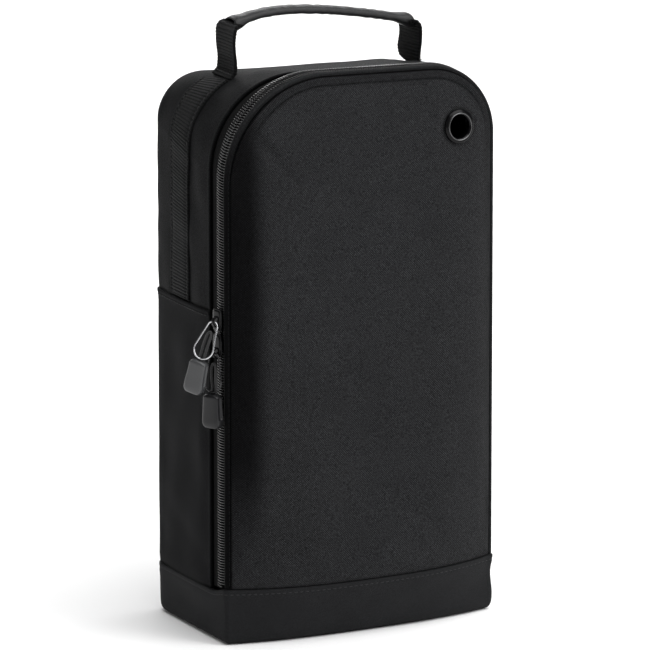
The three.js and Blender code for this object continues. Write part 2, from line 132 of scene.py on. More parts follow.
def new_object(name: str, points: Array, faces: Sequence[Sequence[int]]) -> bpy.types.Object:
    """A mesh object whose faces point outwards.

    Args:
        name: the piece's name.
        points: corner places, one row each, in millimetres.
        faces: corner numbers of each face, all turning the same way.

    Returns:
        The object, at the origin.
    """
    points = np.asarray(points, float).reshape(-1, 3)
    corner = points - points.mean(0)
    volume = 0.0
    for size in {len(face) for face in faces}:
        ring = corner[np.array([face for face in faces if len(face) == size], int)]
        for k in range(1, size - 1):
            volume += float(np.sum(ring[:, 0] * np.cross(ring[:, k], ring[:, k + 1])))
    if volume < 0:
        faces = [list(face)[::-1] for face in faces]
    mesh = bpy.data.meshes.new(name)
    mesh.from_pydata((points * MM).tolist(), [], [list(map(int, face)) for face in faces])
    mesh.polygons.foreach_set("use_smooth", [True] * len(mesh.polygons))
    mesh.update()
    made = bpy.data.objects.new(name, mesh)
    bpy.context.scene.collection.objects.link(made)
    return made


def grid_quads(rows: int, cols: int, wrap: bool = False) -> Array:
    """Corner numbers of the quads of a grid; with wrap the last column joins the first."""
    r, c = np.meshgrid(np.arange(rows - 1), np.arange(cols if wrap else cols - 1), indexing="ij")
    n = (c + 1) % cols
    return np.stack([r * cols + c, r * cols + n, (r + 1) * cols + n, (r + 1) * cols + c], -1).reshape(-1, 4)


def dress_uv(made: bpy.types.Object, uv: Array) -> None:
    """Gives the piece a UV map named cloth, from one place per corner of the mesh, in millimetres."""
    corners = np.zeros(len(made.data.loops), np.int32)
    made.data.loops.foreach_get("vertex_index", corners)
    layer = made.data.uv_layers.new(name="cloth")
    layer.data.foreach_set("uv", (uv.reshape(-1, 2)[corners] * MM).astype(np.float32).ravel())


def cloth(
    name: str, outer: Array, inner: Array, uv: Array, painted_shade: Array | None = None, wrap: bool = False
) -> bpy.types.Object:
    """A closed sheet made of an outer face, an inner face and the rim that joins them.

    Args:
        name: the piece's name.
        outer, inner: grids of points, rows by columns by 3.
        uv: where each grid point lies on the flat cloth, rows by columns by 2.
        painted_shade: how much painted shade darkens each grid point, in seams, creases, under folds and on
            shaded margins, from 0 to 1.
        wrap: True if the last column joins the first.

    Returns:
        The piece.
    """
    rows, cols = outer.shape[:2]
    count = rows * cols
    front = grid_quads(rows, cols, wrap)
    faces = [*front.tolist(), *(front[:, ::-1] + count).tolist()]
    last = (rows - 1) * cols
    for c in range(cols if wrap else cols - 1):
        n = (c + 1) % cols
        faces.append([n, c, c + count, n + count])
        faces.append([last + c, last + n, last + n + count, last + c + count])
    if not wrap:
        for r in range(rows - 1):
            a, b = r * cols, (r + 1) * cols
            faces.append([a, b, b + count, a + count])
            faces.append([b + cols - 1, a + cols - 1, a + cols - 1 + count, b + cols - 1 + count])
    made = new_object(name, np.concatenate([outer.reshape(-1, 3), inner.reshape(-1, 3)]), faces)
    dress_uv(made, np.concatenate([uv.reshape(-1, 2)] * 2))
    # the painted_shade attribute is painted shade: the cloth finishes darken their colour by it
    if painted_shade is not None:
        depth = made.data.attributes.new("painted_shade", "FLOAT", "POINT")
        depth.data.foreach_set("value", np.tile(painted_shade.reshape(-1), 2).astype(np.float32))
    return made


def tube(name: str, path: Array, side: Array, radius: Array | float, sides: int = 8) -> bpy.types.Object:
    """A round tube along a path, closed at both ends.

    Args:
        name: the piece's name.
        path: centre line.
        side: for each point a direction that isn't along the path.
        radius: one radius, or one for each point.
        sides: corners of the section.

    Returns:
        The piece, with UV running round and along it.
    """
    along = unit(np.gradient(path, axis=0))
    across = unit(np.cross(along, np.broadcast_to(side, path.shape)))
    over = np.cross(across, along)
    turn = np.arange(sides) * 2 * math.pi / sides
    reach = np.broadcast_to(radius, len(path))[:, None, None]
    rings = path[:, None] + reach * (
        across[:, None] * np.cos(turn)[None, :, None] + over[:, None] * np.sin(turn)[None, :, None]
    )
    count = len(path) * sides
    faces = grid_quads(len(path), sides, True).tolist()
    faces += [list(range(sides))[::-1], list(range(count - sides, count))]
    made = new_object(name, rings.reshape(-1, 3), faces)
    run = path_length(path)
    uv = np.stack(np.broadcast_arrays(turn[None, :] * np.mean(radius), run[:, None]), -1)
    dress_uv(made, uv)
    return made


def join(name: str, parts: Sequence[bpy.types.Object]) -> bpy.types.Object:
    """Makes one piece of several."""
    deselect()
    for part in parts:
        part.select_set(True)
    bpy.context.view_layer.objects.active = parts[0]
    if len(parts) > 1:
        bpy.ops.object.join()
    parts[0].name = name
    parts[0].data.name = name
    deselect()
    return parts[0]


# A stitch: share of its length, share of the thread's radius there, and height over the cloth in radii.
STITCH = np.array([
    [0.0, 0.35, -0.75],
    [0.12, 0.85, -0.1],
    [0.5, 1.0, 0.25],
    [0.88, 0.85, -0.1],
    [1.0, 0.35, -0.75],
])
STITCH_SIDES = 6


def stitches(
    name: str, path: Array, outward: Array, length: float = 2.6, space: float = 1.1, thick: float = 0.3
) -> bpy.types.Object:
    """A run of lockstitches that lie on the cloth and dive into it at both ends.

    Args:
        name: the piece's name.
        path: where the run goes, on the cloth's outer face.
        outward: the cloth's outward direction at each point.
        length: one stitch.
        space: from one stitch to the next.
        thick: the thread's radius.

    Returns:
        The piece.
    """
    run = path_length(path)
    starts = np.arange(space, run[-1] - length, length + space)
    turn = np.arange(STITCH_SIDES) * 2 * math.pi / STITCH_SIDES
    rings = grid_quads(len(STITCH), STITCH_SIDES, True)
    count = len(STITCH) * STITCH_SIDES
    cap = np.arange(STITCH_SIDES)
    points, faces = [], []
    for start in starts:
        at = start + STITCH[:, 0] * length
        centre = np.stack([np.interp(at, run, path[:, k]) for k in range(3)], -1)
        up = unit(np.stack([np.interp(at, run, outward[:, k]) for k in range(3)], -1))
        across = unit(np.cross(up, unit(centre[-1] - centre[0])))
        centre = centre + up * STITCH[:, 2:3] * thick
        ring = centre[:, None] + thick * STITCH[:, 1][:, None, None] * (
            across[:, None] * np.cos(turn)[None, :, None] + up[:, None] * np.sin(turn)[None, :, None]
        )
        base = len(points) * count
        points.append(ring.reshape(-1, 3))
        faces += (rings + base).tolist()
        faces += [(base + cap[::-1]).tolist(), (base + count - STITCH_SIDES + cap).tolist()]
    return new_object(name, np.concatenate(points), faces)


class Bench:
    """Models one hard piece with Blender's own tools, in millimetres, in the piece's own frame."""

    def __init__(self, name: str) -> None:
        """Starts with nothing selected."""
        self.name = name
        self.item: bpy.types.Object | None = None
        deselect()

    def start(self, primitive: Callable[..., set[str]], **size: object) -> "Bench":
        """Adds a primitive and opens it for editing.

        Args:
            primitive: one of bpy.ops.mesh's primitives.
            size: its size and place.

        Returns:
            The bench, so that steps can follow each other.
        """
        primitive(**size)
        self.item = bpy.context.active_object
        bpy.ops.object.transform_apply(location=True, rotation=True, scale=True)
        bpy.ops.object.mode_set(mode="EDIT")
        return self

    def pick(self, test: Callable[[Vector, Vector], bool], kind: str = "faces") -> "Bench":
        """Selects what passes a test.

        Args:
            test: is given the place and the normal of each face, or each corner.
            kind: faces, or verts.

        Returns:
            The bench.
        """
        mesh = bmesh.from_edit_mesh(self.item.data)
        bpy.ops.mesh.select_mode(type="FACE" if kind == "faces" else "VERT")
        for part in (*mesh.faces, *mesh.edges, *mesh.verts):
            part.select = False
        for part in mesh.faces if kind == "faces" else mesh.verts:
            place = part.calc_center_median() if kind == "faces" else part.co
            if test(place, part.normal):
                part.select_set(True)
        mesh.select_flush_mode()
        bmesh.update_edit_mesh(self.item.data)
        return self

    def circle(self, vertices: int, radius: float, place: Sequence[float]) -> "Bench":
        """Starts from a circle that stands across the X axis, as the outline of a sweep round Z."""
        ring = bpy.ops.mesh.primitive_circle_add
        self.start(ring, vertices=vertices, radius=radius, location=place, rotation=(QUARTER, 0, 0))
        return self.all()

    def block(self, size: Sequence[float], place: Sequence[float]) -> "Bench":
        """Starts from a box."""
        return self.start(bpy.ops.mesh.primitive_cube_add, size=1, location=place, scale=size)

    def all(self) -> "Bench":
        """Selects everything."""
        bpy.ops.mesh.select_all(action="SELECT")
        return self

    def extrude(self, move: Sequence[float], scale: Sequence[float] = (1, 1, 1)) -> "Bench":
        """Pulls the selected faces out, then scales their far end about its own middle."""
        bpy.ops.mesh.extrude_region_move(TRANSFORM_OT_translate={"value": tuple(move)})
        return self.resize(scale)

    def resize(self, scale: Sequence[float]) -> "Bench":
        """Scales what is selected about its own middle."""
        mesh = bmesh.from_edit_mesh(self.item.data)
        chosen = [v.co for v in mesh.verts if v.select]
        middle = sum(chosen, Vector()) / max(len(chosen), 1)
        bpy.ops.transform.resize(value=tuple(scale), center_override=tuple(middle))
        return self

    def move(self, step: Sequence[float]) -> "Bench":
        """Moves what is selected."""
        bpy.ops.transform.translate(value=tuple(step))
        return self

    def inset(self, thickness: float) -> "Bench":
        """Insets the selected faces."""
        bpy.ops.mesh.inset(thickness=thickness, depth=0.0)
        return self

    def turn(self, angle: float, axis: str, centre: Sequence[float]) -> "Bench":
        """Turns what is selected about a point."""
        bpy.ops.transform.rotate(value=angle, orient_axis=axis, center_override=tuple(centre))
        return self

    def spin(self, centre: Sequence[float], axis: Sequence[float], angle: float, steps: int) -> "Bench":
        """Sweeps the selected outline round an axis."""
        bpy.ops.mesh.spin(
            center=tuple(centre), axis=tuple(axis), angle=angle, steps=steps, use_auto_merge=False
        )
        return self

    def lathe(self, steps: int) -> "Bench":
        """Sweeps everything once round the Z axis and closes the seam."""
        return self.all().spin((0, 0, 0), (0, 0, 1), 2 * math.pi, steps).close(0.02)

    def close(self, weld: float = 0.01) -> "Bench":
        """Merges doubled corners and turns all faces outwards."""
        self.all()
        bpy.ops.mesh.remove_doubles(threshold=weld)
        bpy.ops.mesh.normals_make_consistent(inside=False)
        return self

    def round_off(self, width: float, segments: int = 2, angle: float = 30.0) -> "Bench":
        """Rounds every edge sharper than an angle with a Bevel modifier."""
        bpy.ops.object.mode_set(mode="OBJECT")
        bevel = self.item.modifiers.new("round", "BEVEL")
        bevel.width = width
        bevel.segments = segments
        bevel.limit_method = "ANGLE"
        bevel.angle_limit = math.radians(angle)
        return self.apply(bevel)

    def soften(self, levels: int = 1) -> "Bench":
        """Subdivides the piece to a smooth surface."""
        bpy.ops.object.mode_set(mode="OBJECT")
        smooth = self.item.modifiers.new("smooth", "SUBSURF")
        smooth.levels = smooth.render_levels = levels
        return self.apply(smooth)

    def apply(self, modifier: bpy.types.Modifier) -> "Bench":
        """Makes a modifier's shape the piece's own."""
        self._select()
        bpy.ops.object.modifier_apply(modifier=modifier.name)
        return self

    def done(self, place: Matrix, angle: float = 40.0) -> bpy.types.Object:
        """Leaves edit mode and puts the piece in its place.

        Args:
            place: from the piece's own frame, in millimetres, to the bag's, in millimetres.
            angle: edges sharper than this stay sharp, in degrees.

        Returns:
            The finished piece, at the origin.
        """
        if self.item.mode == "EDIT":
            bpy.ops.object.mode_set(mode="OBJECT")
        self._select()
        bpy.ops.object.shade_smooth_by_angle(angle=math.radians(angle))
        self.item.data.transform(Matrix.Scale(MM, 4) @ place)
        self.item.name = self.item.data.name = self.name
        deselect()
        return self.item

    def _select(self) -> None:
        """Makes the piece the only selected one."""
        deselect()
        self.item.select_set(True)
        bpy.context.view_layer.objects.active = self.item


# ---------------------------------------------------------------- finishes
class Graph:
    """The nodes of one material, added one after another."""

    def __init__(self, name: str) -> None:
        """Starts a material with a Principled shader and its output."""
        self.material = bpy.data.materials.new(name)
        self.material.use_nodes = True
        self.tree = self.material.node_tree
        self.tree.nodes.clear()
        out = self.tree.nodes.new("ShaderNodeOutputMaterial")
        self.shader = self.tree.nodes.new("ShaderNodeBsdfPrincipled")
        self.tree.links.new(self.shader.outputs[0], out.inputs[0])

    def put(self, socket: Socket, value: "Socket | float | Sequence[float]") -> None:
        """Links a socket, or sets its value."""
        if isinstance(value, bpy.types.NodeSocket):
            self.tree.links.new(value, socket)
        else:
            socket.default_value = value

    def set(self, **inputs: "Socket | float | Sequence[float]") -> None:
        """Sets the shader's inputs, with _ for a space in their names."""
        for key, value in inputs.items():
            self.put(self.shader.inputs[key.replace("_", " ")], value)

    def math(self, operation: str, a: "Socket | float", b: "Socket | float" = 0.0) -> Socket:
        """One step of arithmetic."""
        node = self.tree.nodes.new("ShaderNodeMath")
        node.operation = operation
        self.put(node.inputs[0], a)
        self.put(node.inputs[1], b)
        return node.outputs[0]

    def product(self, first: "Socket | float", *others: "Socket | float") -> Socket:
        """Several values multiplied."""
        for other in others:
            first = self.math("MULTIPLY", first, other)
        return first

    def ridges(self, place: Socket, per_unit: float = 2 * QUARTER) -> Socket:
        """Round ridges side by side, 0 in the valleys and 1 on the crests."""
        return self.math("ABSOLUTE", self.math("SINE", self.product(place, per_unit)))

    def blend(self, share: "Socket | float", a: "Socket | float", b: "Socket | float") -> Socket:
        """a at share 0, b at share 1."""
        node = self.tree.nodes.new("ShaderNodeMix")
        node.data_type = "FLOAT"
        self.put(node.inputs[0], share)
        self.put(node.inputs[2], a)
        self.put(node.inputs[3], b)
        return node.outputs[0]

    def tint(self, colour: Sequence[float], amount: "Socket | float") -> Socket:
        """A colour made lighter or darker by an amount."""
        node = self.tree.nodes.new("ShaderNodeVectorMath")
        node.operation = "SCALE"
        node.inputs[0].default_value = colour
        self.put(node.inputs["Scale"], amount)
        return node.outputs[0]

    def cloth_place(self) -> tuple[Socket, Socket]:
        """The two coordinates on the cloth, in metres."""
        uv = self.tree.nodes.new("ShaderNodeUVMap")
        uv.uv_map = "cloth"
        split = self.tree.nodes.new("ShaderNodeSeparateXYZ")
        self.put(split.inputs[0], uv.outputs[0])
        return split.outputs[0], split.outputs[1]

    def object_place(self) -> Socket:
        """The place in space, in metres."""
        return self.tree.nodes.new("ShaderNodeTexCoord").outputs["Object"]

    def noise(self, scale: float, detail: float = 2.0, stretch: Sequence[float] = (1, 1, 1)) -> Socket:
        """Uneven values round 0.5 through space, finer at a larger scale."""
        mapping = self.tree.nodes.new("ShaderNodeMapping")
        mapping.inputs["Scale"].default_value = stretch
        self.put(mapping.inputs[0], self.object_place())
        node = self.tree.nodes.new("ShaderNodeTexNoise")
        self.put(node.inputs["Vector"], mapping.outputs[0])
        node.inputs["Scale"].default_value = scale
        node.inputs["Detail"].default_value = detail
        return node.outputs[0]

    def attribute(self, name: str) -> Socket:
        """A value stored on the mesh."""
        node = self.tree.nodes.new("ShaderNodeAttribute")
        node.attribute_name = name
        return node.outputs["Fac"]

    def bump(self, height: Socket, distance: float, strength: float = 1.0) -> None:
        """Raises the surface by a height in metres times distance."""
        node = self.tree.nodes.new("ShaderNodeBump")
        node.inputs["Distance"].default_value = distance
        node.inputs["Strength"].default_value = strength
        self.put(node.inputs["Height"], height)
        self.put(self.shader.inputs["Normal"], node.outputs[0])


@dataclass(frozen=True)
class WovenCloth:
    """Plain-woven polyester cloth: crossing threads, a little fuzz, uneven dye and painted shade from the
    mesh.
    """

    name: str
    thread: float  # pitch of the threads, in metres
    colour: tuple[float, float, float]
    contrast: float  # how much darker the gaps between threads are
    relief: float  # height of a thread, in metres
    roughness: float
    sheen: float
    shine: float  # specular level
    speckle: float  # how unevenly single threads took the dye

    def material(self) -> bpy.types.Material:
        """Builds the cloth's nodes and returns its material."""
        g = Graph(self.name)
        u, v = g.cloth_place()
        a, b = (g.math("DIVIDE", way, self.thread) for way in (u, v))
        warp, weft = (g.math("POWER", g.ridges(way), 0.6) for way in (a, b))
        count = g.math("ADD", g.math("FLOOR", a), g.math("FLOOR", b))
        over = g.math("LESS_THAN", g.math("FLOORED_MODULO", count, 2.0), 0.5)
        thread = g.blend(over, weft, warp)
        fibre = g.noise(2600, 3.0)
        spread = 4.6 * self.speckle
        # depth is the painted shade read from the mesh
        depth = g.attribute("painted_shade")
        height = g.math("ADD", thread, g.product(fibre, 0.5))
        tone = g.product(
            g.blend(thread, 1 - self.contrast, 1 + self.contrast * 0.45),
            g.blend(over, 0.42, 1.58),
            g.blend(fibre, 0.7, 1.3),
            g.math("MAXIMUM", g.blend(g.noise(1150, 2.0), 1 - spread, 1 + spread), 0.12),
            g.blend(g.noise(38, 3.0), 0.82, 1.18),
            g.blend(g.noise(9, 2.0), 0.88, 1.12),
            # painted shade: darker in seams, creases and shaded margins
            g.blend(depth, 1.0, 0.10),
        )
        g.set(
            Base_Color=g.tint(self.colour, tone),
            Roughness=g.blend(thread, min(1.0, self.roughness + 0.12), self.roughness),
            # painted shade also takes the specular away there
            Specular_IOR_Level=g.blend(depth, self.shine, 0.01),
            Sheen_Weight=self.sheen,
            Sheen_Roughness=0.55,
            Sheen_Tint=(0.62, 0.63, 0.66, 1),
        )
        g.bump(height, self.relief)
        return g.material


@dataclass(frozen=True)
class RibbedTape:
    """Woven tape or webbing: ribs across its length, bound edges, and painted shade from the mesh."""

    name: str
    rib: float  # pitch of the ribs, in metres
    width: float  # of the tape, in metres
    colour: tuple[float, float, float]
    relief: float
    roughness: float
    herringbone: bool = False

    def material(self) -> bpy.types.Material:
        """Builds the tape's nodes and returns its material."""
        g = Graph(self.name)
        u, v = g.cloth_place()
        across = g.math("DIVIDE", u, self.width)
        lean = g.product(g.math("PINGPONG", u, self.rib * 2.0), 1.0 if self.herringbone else 0.0)
        rib = g.ridges(g.math("DIVIDE", g.math("ADD", v, lean), self.rib))
        yarn = g.ridges(u, math.pi / (self.rib * 0.42))
        edge = g.math("ABSOLUTE", g.math("SUBTRACT", across, 0.5))
        bound = g.math("GREATER_THAN", edge, 0.455)
        height = g.math("ADD", g.math("POWER", rib, 0.7), g.product(yarn, 0.35))
        tone = g.product(
            g.blend(g.math("POWER", rib, 0.8), 0.12, 1.4),
            g.blend(yarn, 0.8, 1.1),
            g.blend(g.noise(420, 3.0), 0.65, 1.35),
            g.blend(g.noise(75, 2.0, (0.4, 0.4, 2.5)), 0.55, 1.45),
            g.blend(bound, 1.0, 0.8),
            # painted shade from the mesh: darker along edges and at sewn ends
            g.blend(g.attribute("painted_shade"), 1.0, 0.1),
        )
        g.set(
            Base_Color=g.tint(self.colour, tone),
            Roughness=self.roughness,
            Specular_IOR_Level=0.07,
            Sheen_Weight=0.02,
            Sheen_Roughness=0.5,
        )
        g.bump(height, self.relief)
        return g.material


@dataclass(frozen=True)
class Moulded:
    """Rubber, nylon, lacquer or plain board: one substance with a fine uneven skin."""

    name: str
    colour: tuple[float, float, float]
    roughness: float
    grain: float  # size of the skin's unevenness, as a noise scale
    relief: float
    metallic: float = 0.0
    coat: float = 0.0
    shine: float = 0.5

    def material(self) -> bpy.types.Material:
        """Builds the substance's nodes and returns its material."""
        g = Graph(self.name)
        grain = g.noise(self.grain, 3.0)
        patch = g.noise(110, 2.0)
        tone = g.product(g.blend(grain, 0.85, 1.15), g.blend(patch, 0.85, 1.15))
        g.set(
            Base_Color=g.tint(self.colour, tone),
            Roughness=g.blend(patch, self.roughness * 0.8, self.roughness * 1.25),
            Metallic=self.metallic,
            Coat_Weight=self.coat,
            Coat_Roughness=0.12,
            Specular_IOR_Level=self.shine,
        )
        g.bump(grain, self.relief)
        return g.material


@dataclass(frozen=True)
class Braid:
    """Round braided cord: two sets of strands that cross."""

    name: str
    colour: tuple[float, float, float]
    pitch: float  # of the strands, in metres

    def material(self) -> bpy.types.Material:
        """Builds the cord's nodes and returns its material."""
        g = Graph(self.name)
        u, v = g.cloth_place()
        per_metre = 2 * math.pi / self.pitch
        one, two = (g.math("SINE", g.product(g.math(way, u, v), per_metre)) for way in ("ADD", "SUBTRACT"))
        strand = g.math("ABSOLUTE", g.product(one, two))
        g.set(Base_Color=g.tint(self.colour, g.blend(strand, 0.5, 1.5)), Roughness=0.6, Sheen_Weight=0.1)
        g.bump(strand, 0.00012)
        return g.material


class Finish(Enum):
    """Every finish on the bag."""

    FRONT_WEAVE = WovenCloth(
        "front_weave", 0.00074, (0.0156, 0.0159, 0.0168),
        0.75, 0.00014, 0.68, 0.01, 0.07, 0.35
    )
    BODY_WEAVE = WovenCloth(
        "body_weave", 0.00048, (0.0060, 0.0062, 0.0066),
        0.45, 0.00006, 0.62, 0.01, 0.06, 0.40
    )
    BORDER_WEAVE = WovenCloth(
        "border_weave", 0.00048, (0.0130, 0.0133, 0.0141),
        0.45, 0.00006, 0.70, 0.01, 0.08, 0.20
    )
    SMOOTH_CLOTH = WovenCloth(
        "smooth_cloth", 0.00034, (0.0076, 0.0078, 0.0083),
        0.30, 0.00003, 0.62, 0.01, 0.035, 0.16
    )
    BAND_CLOTH = WovenCloth(
        "band_cloth", 0.00034, (0.0128, 0.0131, 0.0139),
        0.30, 0.00003, 0.60, 0.01, 0.06, 0.12
    )
    GRIP_CLOTH = WovenCloth(
        "grip_cloth", 0.00034, (0.0085, 0.0087, 0.0093),
        0.30, 0.00003, 0.42, 0.04, 0.32, 0.10
    )
    WEBBING = RibbedTape("ribbed_webbing", 0.0021, 0.025, (0.0058, 0.0060, 0.0064), 0.00030, 0.62)
    ZIPPER_TAPE = RibbedTape("zipper_tape", 0.0011, 0.0062, (0.0022, 0.0023, 0.0025), 0.00010, 0.80, True)
    BINDING = RibbedTape("seam_binding", 0.0009, 0.006, (0.0090, 0.0092, 0.0098), 0.00008, 0.75)
    COIL = Moulded("coil_nylon", (0.0016, 0.0016, 0.0018), 0.07, 900, 0.00001, shine=1.0)
    LACQUER = Moulded("black_lacquer", (0.0018, 0.0018, 0.0021), 0.16, 700, 0.00001, shine=0.14)
    # a lighter metal than the lacquer, laid on the eyelet's rolled lip as a painted highlight; being metal it
    # also reflects the lamps
    RIM = Moulded("lip_painted_highlight", (0.11, 0.11, 0.112), 0.25, 700, 0.00001, metallic=1.0)
    NICKEL = Moulded("bright_nickel", (0.62, 0.62, 0.64), 0.18, 500, 0.000004, metallic=1.0)
    # the same nickel as the upper ring, darkened: painted shade for the lower ring
    GUNMETAL = Moulded("nickel_painted_shade", (0.05, 0.05, 0.052), 0.22, 500, 0.000004, metallic=1.0)
    RUBBER = Moulded("satin_rubber", (0.040, 0.041, 0.043), 0.34, 1500, 0.00002, shine=0.5)
    # the same rubber as the upper tab, darkened: painted shade for the lower tab
    DARK_RUBBER = Moulded("satin_rubber_painted_shade", (0.006, 0.006, 0.007), 0.34, 1500, 0.00002, shine=0.3)
    BOARD = Moulded("stiffener_board", (0.045, 0.045, 0.046), 0.85, 300, 0.00005)
    FOAM = Moulded("foam_core", (0.04, 0.04, 0.041), 0.9, 600, 0.0002)
    DARK_THREAD = Moulded("dark_thread", (0.004, 0.004, 0.0045), 0.6, 2500, 0.00003, shine=0.1)
    THREAD = Moulded("sewing_thread", (0.014, 0.014, 0.015), 0.55, 2500, 0.00003, shine=0.3)
    CORD = Braid("braided_cord", (0.014, 0.014, 0.015), 0.0011)


class Dresser:
    """Puts finishes on pieces and attaches each to its body."""

    def __init__(self) -> None:
        """No material exists yet."""
        self.materials: dict[Finish, bpy.types.Material] = {}

    def dress(
        self,
        piece: bpy.types.Object,
        finish: Finish,
        body: str | tuple[str, str],
        slot: str,
        nodes: Sequence[str] = (),
        bend: tuple[Sequence[float], Sequence[float]] | None = None,
    ) -> bpy.types.Object:
        """Finishes a piece and attaches it to its body; given a bend, it leaves the piece unattached instead.

        Args:
            piece: the piece.
            finish: what it is made of.
            body: the body it rides on; for a bend, the two bodies named, which only the log shows.
            slot: not used.
            nodes: CAD nodes that it stands for.
            bend: where a bend between two bodies starts and ends, in metres; only whether it is given is
                used, and the piece is not made to bend.

        Returns:
            The piece.
        """
        if finish not in self.materials:
            self.materials[finish] = finish.value.material()
        piece.data.materials.clear()
        piece.data.materials.append(self.materials[finish])
        if bend:
            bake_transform(piece)
        else:
            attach(piece, body)
        if nodes:
            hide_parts(*nodes)
        log.info("%s: %s on %s, %d faces", piece.name, finish.name.lower(), body, len(piece.data.polygons))
        return piece

    def declare(self, piece: bpy.types.Object, held: str = "stretched") -> None:
        """Reads the UV map of a piece of cloth and does nothing further with it."""
        corners = np.zeros(len(piece.data.loops) * 2, np.float32)
        piece.data.uv_layers["cloth"].data.foreach_get("uv", corners)


# ---------------------------------------------------------------- the bag's outline
@dataclass(frozen=True)
class BagShape:
    """Outline of the filled bag, in millimetres. It leans and rounds a little unevenly, as soft bags do."""

    side: float = 95.0  # half the width
    top: float = 360.0  # at the front edge, in the middle
    back_fall: float = 15.0  # how much lower the top is at the back
    tilt: float = 6.6  # how much higher the left end of the top is
    front: float = -41.0
    back: float = 61.0
    front_radii: tuple[float, float] = (70.0, 46.0)  # left and right top corners
    back_radii: tuple[float, float] = (27.5, 33.0)
    border: float = 3.4  # border strip seen from the front
    band_front: float = 36.0  # height of the bottom band
    band_side: float = 32.0
    edge_round: float = 10.0  # back edges
    chain_y: float = -32.0
    chain_inset: float = 3.005
    chain_tilt: float = math.radians(8)
    side_seam: float = 211.0
    belly_heights: tuple[float, ...] = (0, 36, 70, 110, 160, 190, 235, 280, 310, 332, 345, 353)
    belly_depths: tuple[float, ...] = (8.5, 17.5, 16.7, 16, 14.8, 14.5, 12.4, 10, 6.6, 4.2, 2.2, 0.8)

    def share(self, y: Array | float) -> Array | float:
        """0 at the front corner, 1 at the back."""
        return (np.asarray(y, float) - self.front) / (self.back - self.front)

    def swell(self, y: Array | float) -> Array | float:
        """How much a side stands out: 0 at its front and back, 1 halfway."""
        return np.sin(np.clip(self.share(y), 0, 1) * math.pi)

    def top_at(self, x: Array | float, y: Array | float) -> Array | float:
        """Height of the top, with a slight sag in its middle."""
        sag = 1.2 * np.cos(np.clip(x / self.side, -1, 1) * QUARTER) * np.clip(self.share(y), 0, 1)
        return self.top - self.back_fall * self.share(y) - self.tilt * x / (2 * self.side) - sag

    def radius(self, y: Array | float, right: bool) -> Array | float:
        """Radius of a top corner."""
        near, far = self.front_radii[right], self.back_radii[right]
        return near + (far - near) * self.share(y)

    def arch(self, q: Array | float, y: Array | float, inset: Array | float, foot: Array | float) -> Array:
        """A point of the arch that the sides and top make, seen from the front.

        Args:
            q: 0 at the left foot, 1 and 2 at the left corner's ends, 3 and 4 at the right corner's,
                5 at the right foot.
            y: from front to back.
            inset: how far inside the outline.
            foot: height of the two feet.

        Returns:
            Points, with x, y and z last.
        """
        q, y, inset, foot = np.broadcast_arrays(*(np.asarray(v, float) for v in (q, y, inset, foot)))
        right = q > 2.5
        h = np.where(right, 5 - q, q)
        sign = np.where(right, 1.0, -1.0)
        radius = np.where(right, self.radius(y, True), self.radius(y, False))
        turn = np.clip(h - 1, 0, 1) * QUARTER
        corner_x = self.side - radius + (radius - inset) * np.cos(turn)
        left_end = -(self.side - self.radius(y, False))
        right_end = self.side - self.radius(y, True)
        flat = np.clip(q - 2, 0, 1)
        x = np.where((q > 2) & (q < 3), left_end + (right_end - left_end) * flat, sign * corner_x)
        crown = self.top_at(x, y) - radius + (radius - inset) * np.sin(turn)
        crown = np.where((q > 2) & (q < 3), self.top_at(x, y) - inset, crown)
        start = self.top_at(sign * (self.side - inset), y) - radius
        z = np.where(h < 1, foot + (start - foot) * h, crown)
        return np.stack([x, y, z], -1)

    @staticmethod
    def stations(side_steps: int, corner_steps: int, top_steps: int) -> Array:
        """Evenly stepped values of q for a sweep."""
        steps = (side_steps, corner_steps, top_steps, corner_steps)
        marks = [first + np.linspace(0, 1, count, endpoint=False) for first, count in enumerate(steps)]
        return np.concatenate([*marks, 4 + np.linspace(0, 1, side_steps + 1)])

    def spanned(
        self, y: float, inset: float, foot: float, q: Array, cols: int, crowd: float
    ) -> tuple[Array, Array]:
        """Places that fill the arch at one depth from side to side, closer together near its outline.

        Args:
            y: the depth.
            inset: how far inside the outline.
            foot: height of the lower edge.
            q: stations from the left foot to the left end of the top.
            cols: points from side to side.
            crowd: above 1 draws the points towards both sides.

        Returns:
            X and Z of the grid's points.
        """
        w = np.linspace(-1, 1, cols)
        w = (np.sign(w) * (1 - (1 - np.abs(w)) ** crowd) + 1) / 2
        left, right = self.arch(q, y, inset, foot), self.arch(5 - q, y, inset, foot)
        grid = left[:, None] * (1 - w)[None, :, None] + right[:, None] * w[None, :, None]
        return grid[..., 0].copy(), grid[..., 2].copy()

    def inside(self, x: Array, z: Array, y: float) -> Array:
        """Distance of a place on the front or back inwards from the arch at y."""
        right = x > 0
        radius = np.where(right, self.radius(y, True), self.radius(y, False))
        qx = np.abs(x) - (self.side - radius)
        qz = z - (self.top_at(x, y) - radius)
        reach = np.hypot(np.maximum(qx, 0), np.maximum(qz, 0))
        return radius - np.where((qx > 0) | (qz > 0), reach, np.maximum(qx, qz))

    def band_top(self, x: Array | float, y: Array | float) -> Array | float:
        """Height of the bottom band's upper edge."""
        return self.band_side + (self.band_front - self.band_side) * smoothstep(-22, -40, y)

    def belly(self, across: Array | float, z: Array | float) -> Array | float:
        """How far the front stands out; across runs from -1 to 1 between its two border seams."""
        size = np.interp(z, self.belly_heights, self.belly_depths)
        steep = 2.6 + 2.0 * smoothstep(36, 130, z)
        return size * (1 - np.clip(np.abs(across), 0, 1) ** steep)


SHAPE = BagShape()


def chain_point(t: Array | float, n: Array | float) -> tuple[Array, Array]:
    """Depth and inset of a place in the zipper's own section: t towards the front, n outwards."""
    cos, sin = math.cos(SHAPE.chain_tilt), math.sin(SHAPE.chain_tilt)
    return SHAPE.chain_y - t * cos - n * sin, SHAPE.chain_inset + t * sin - n * cos


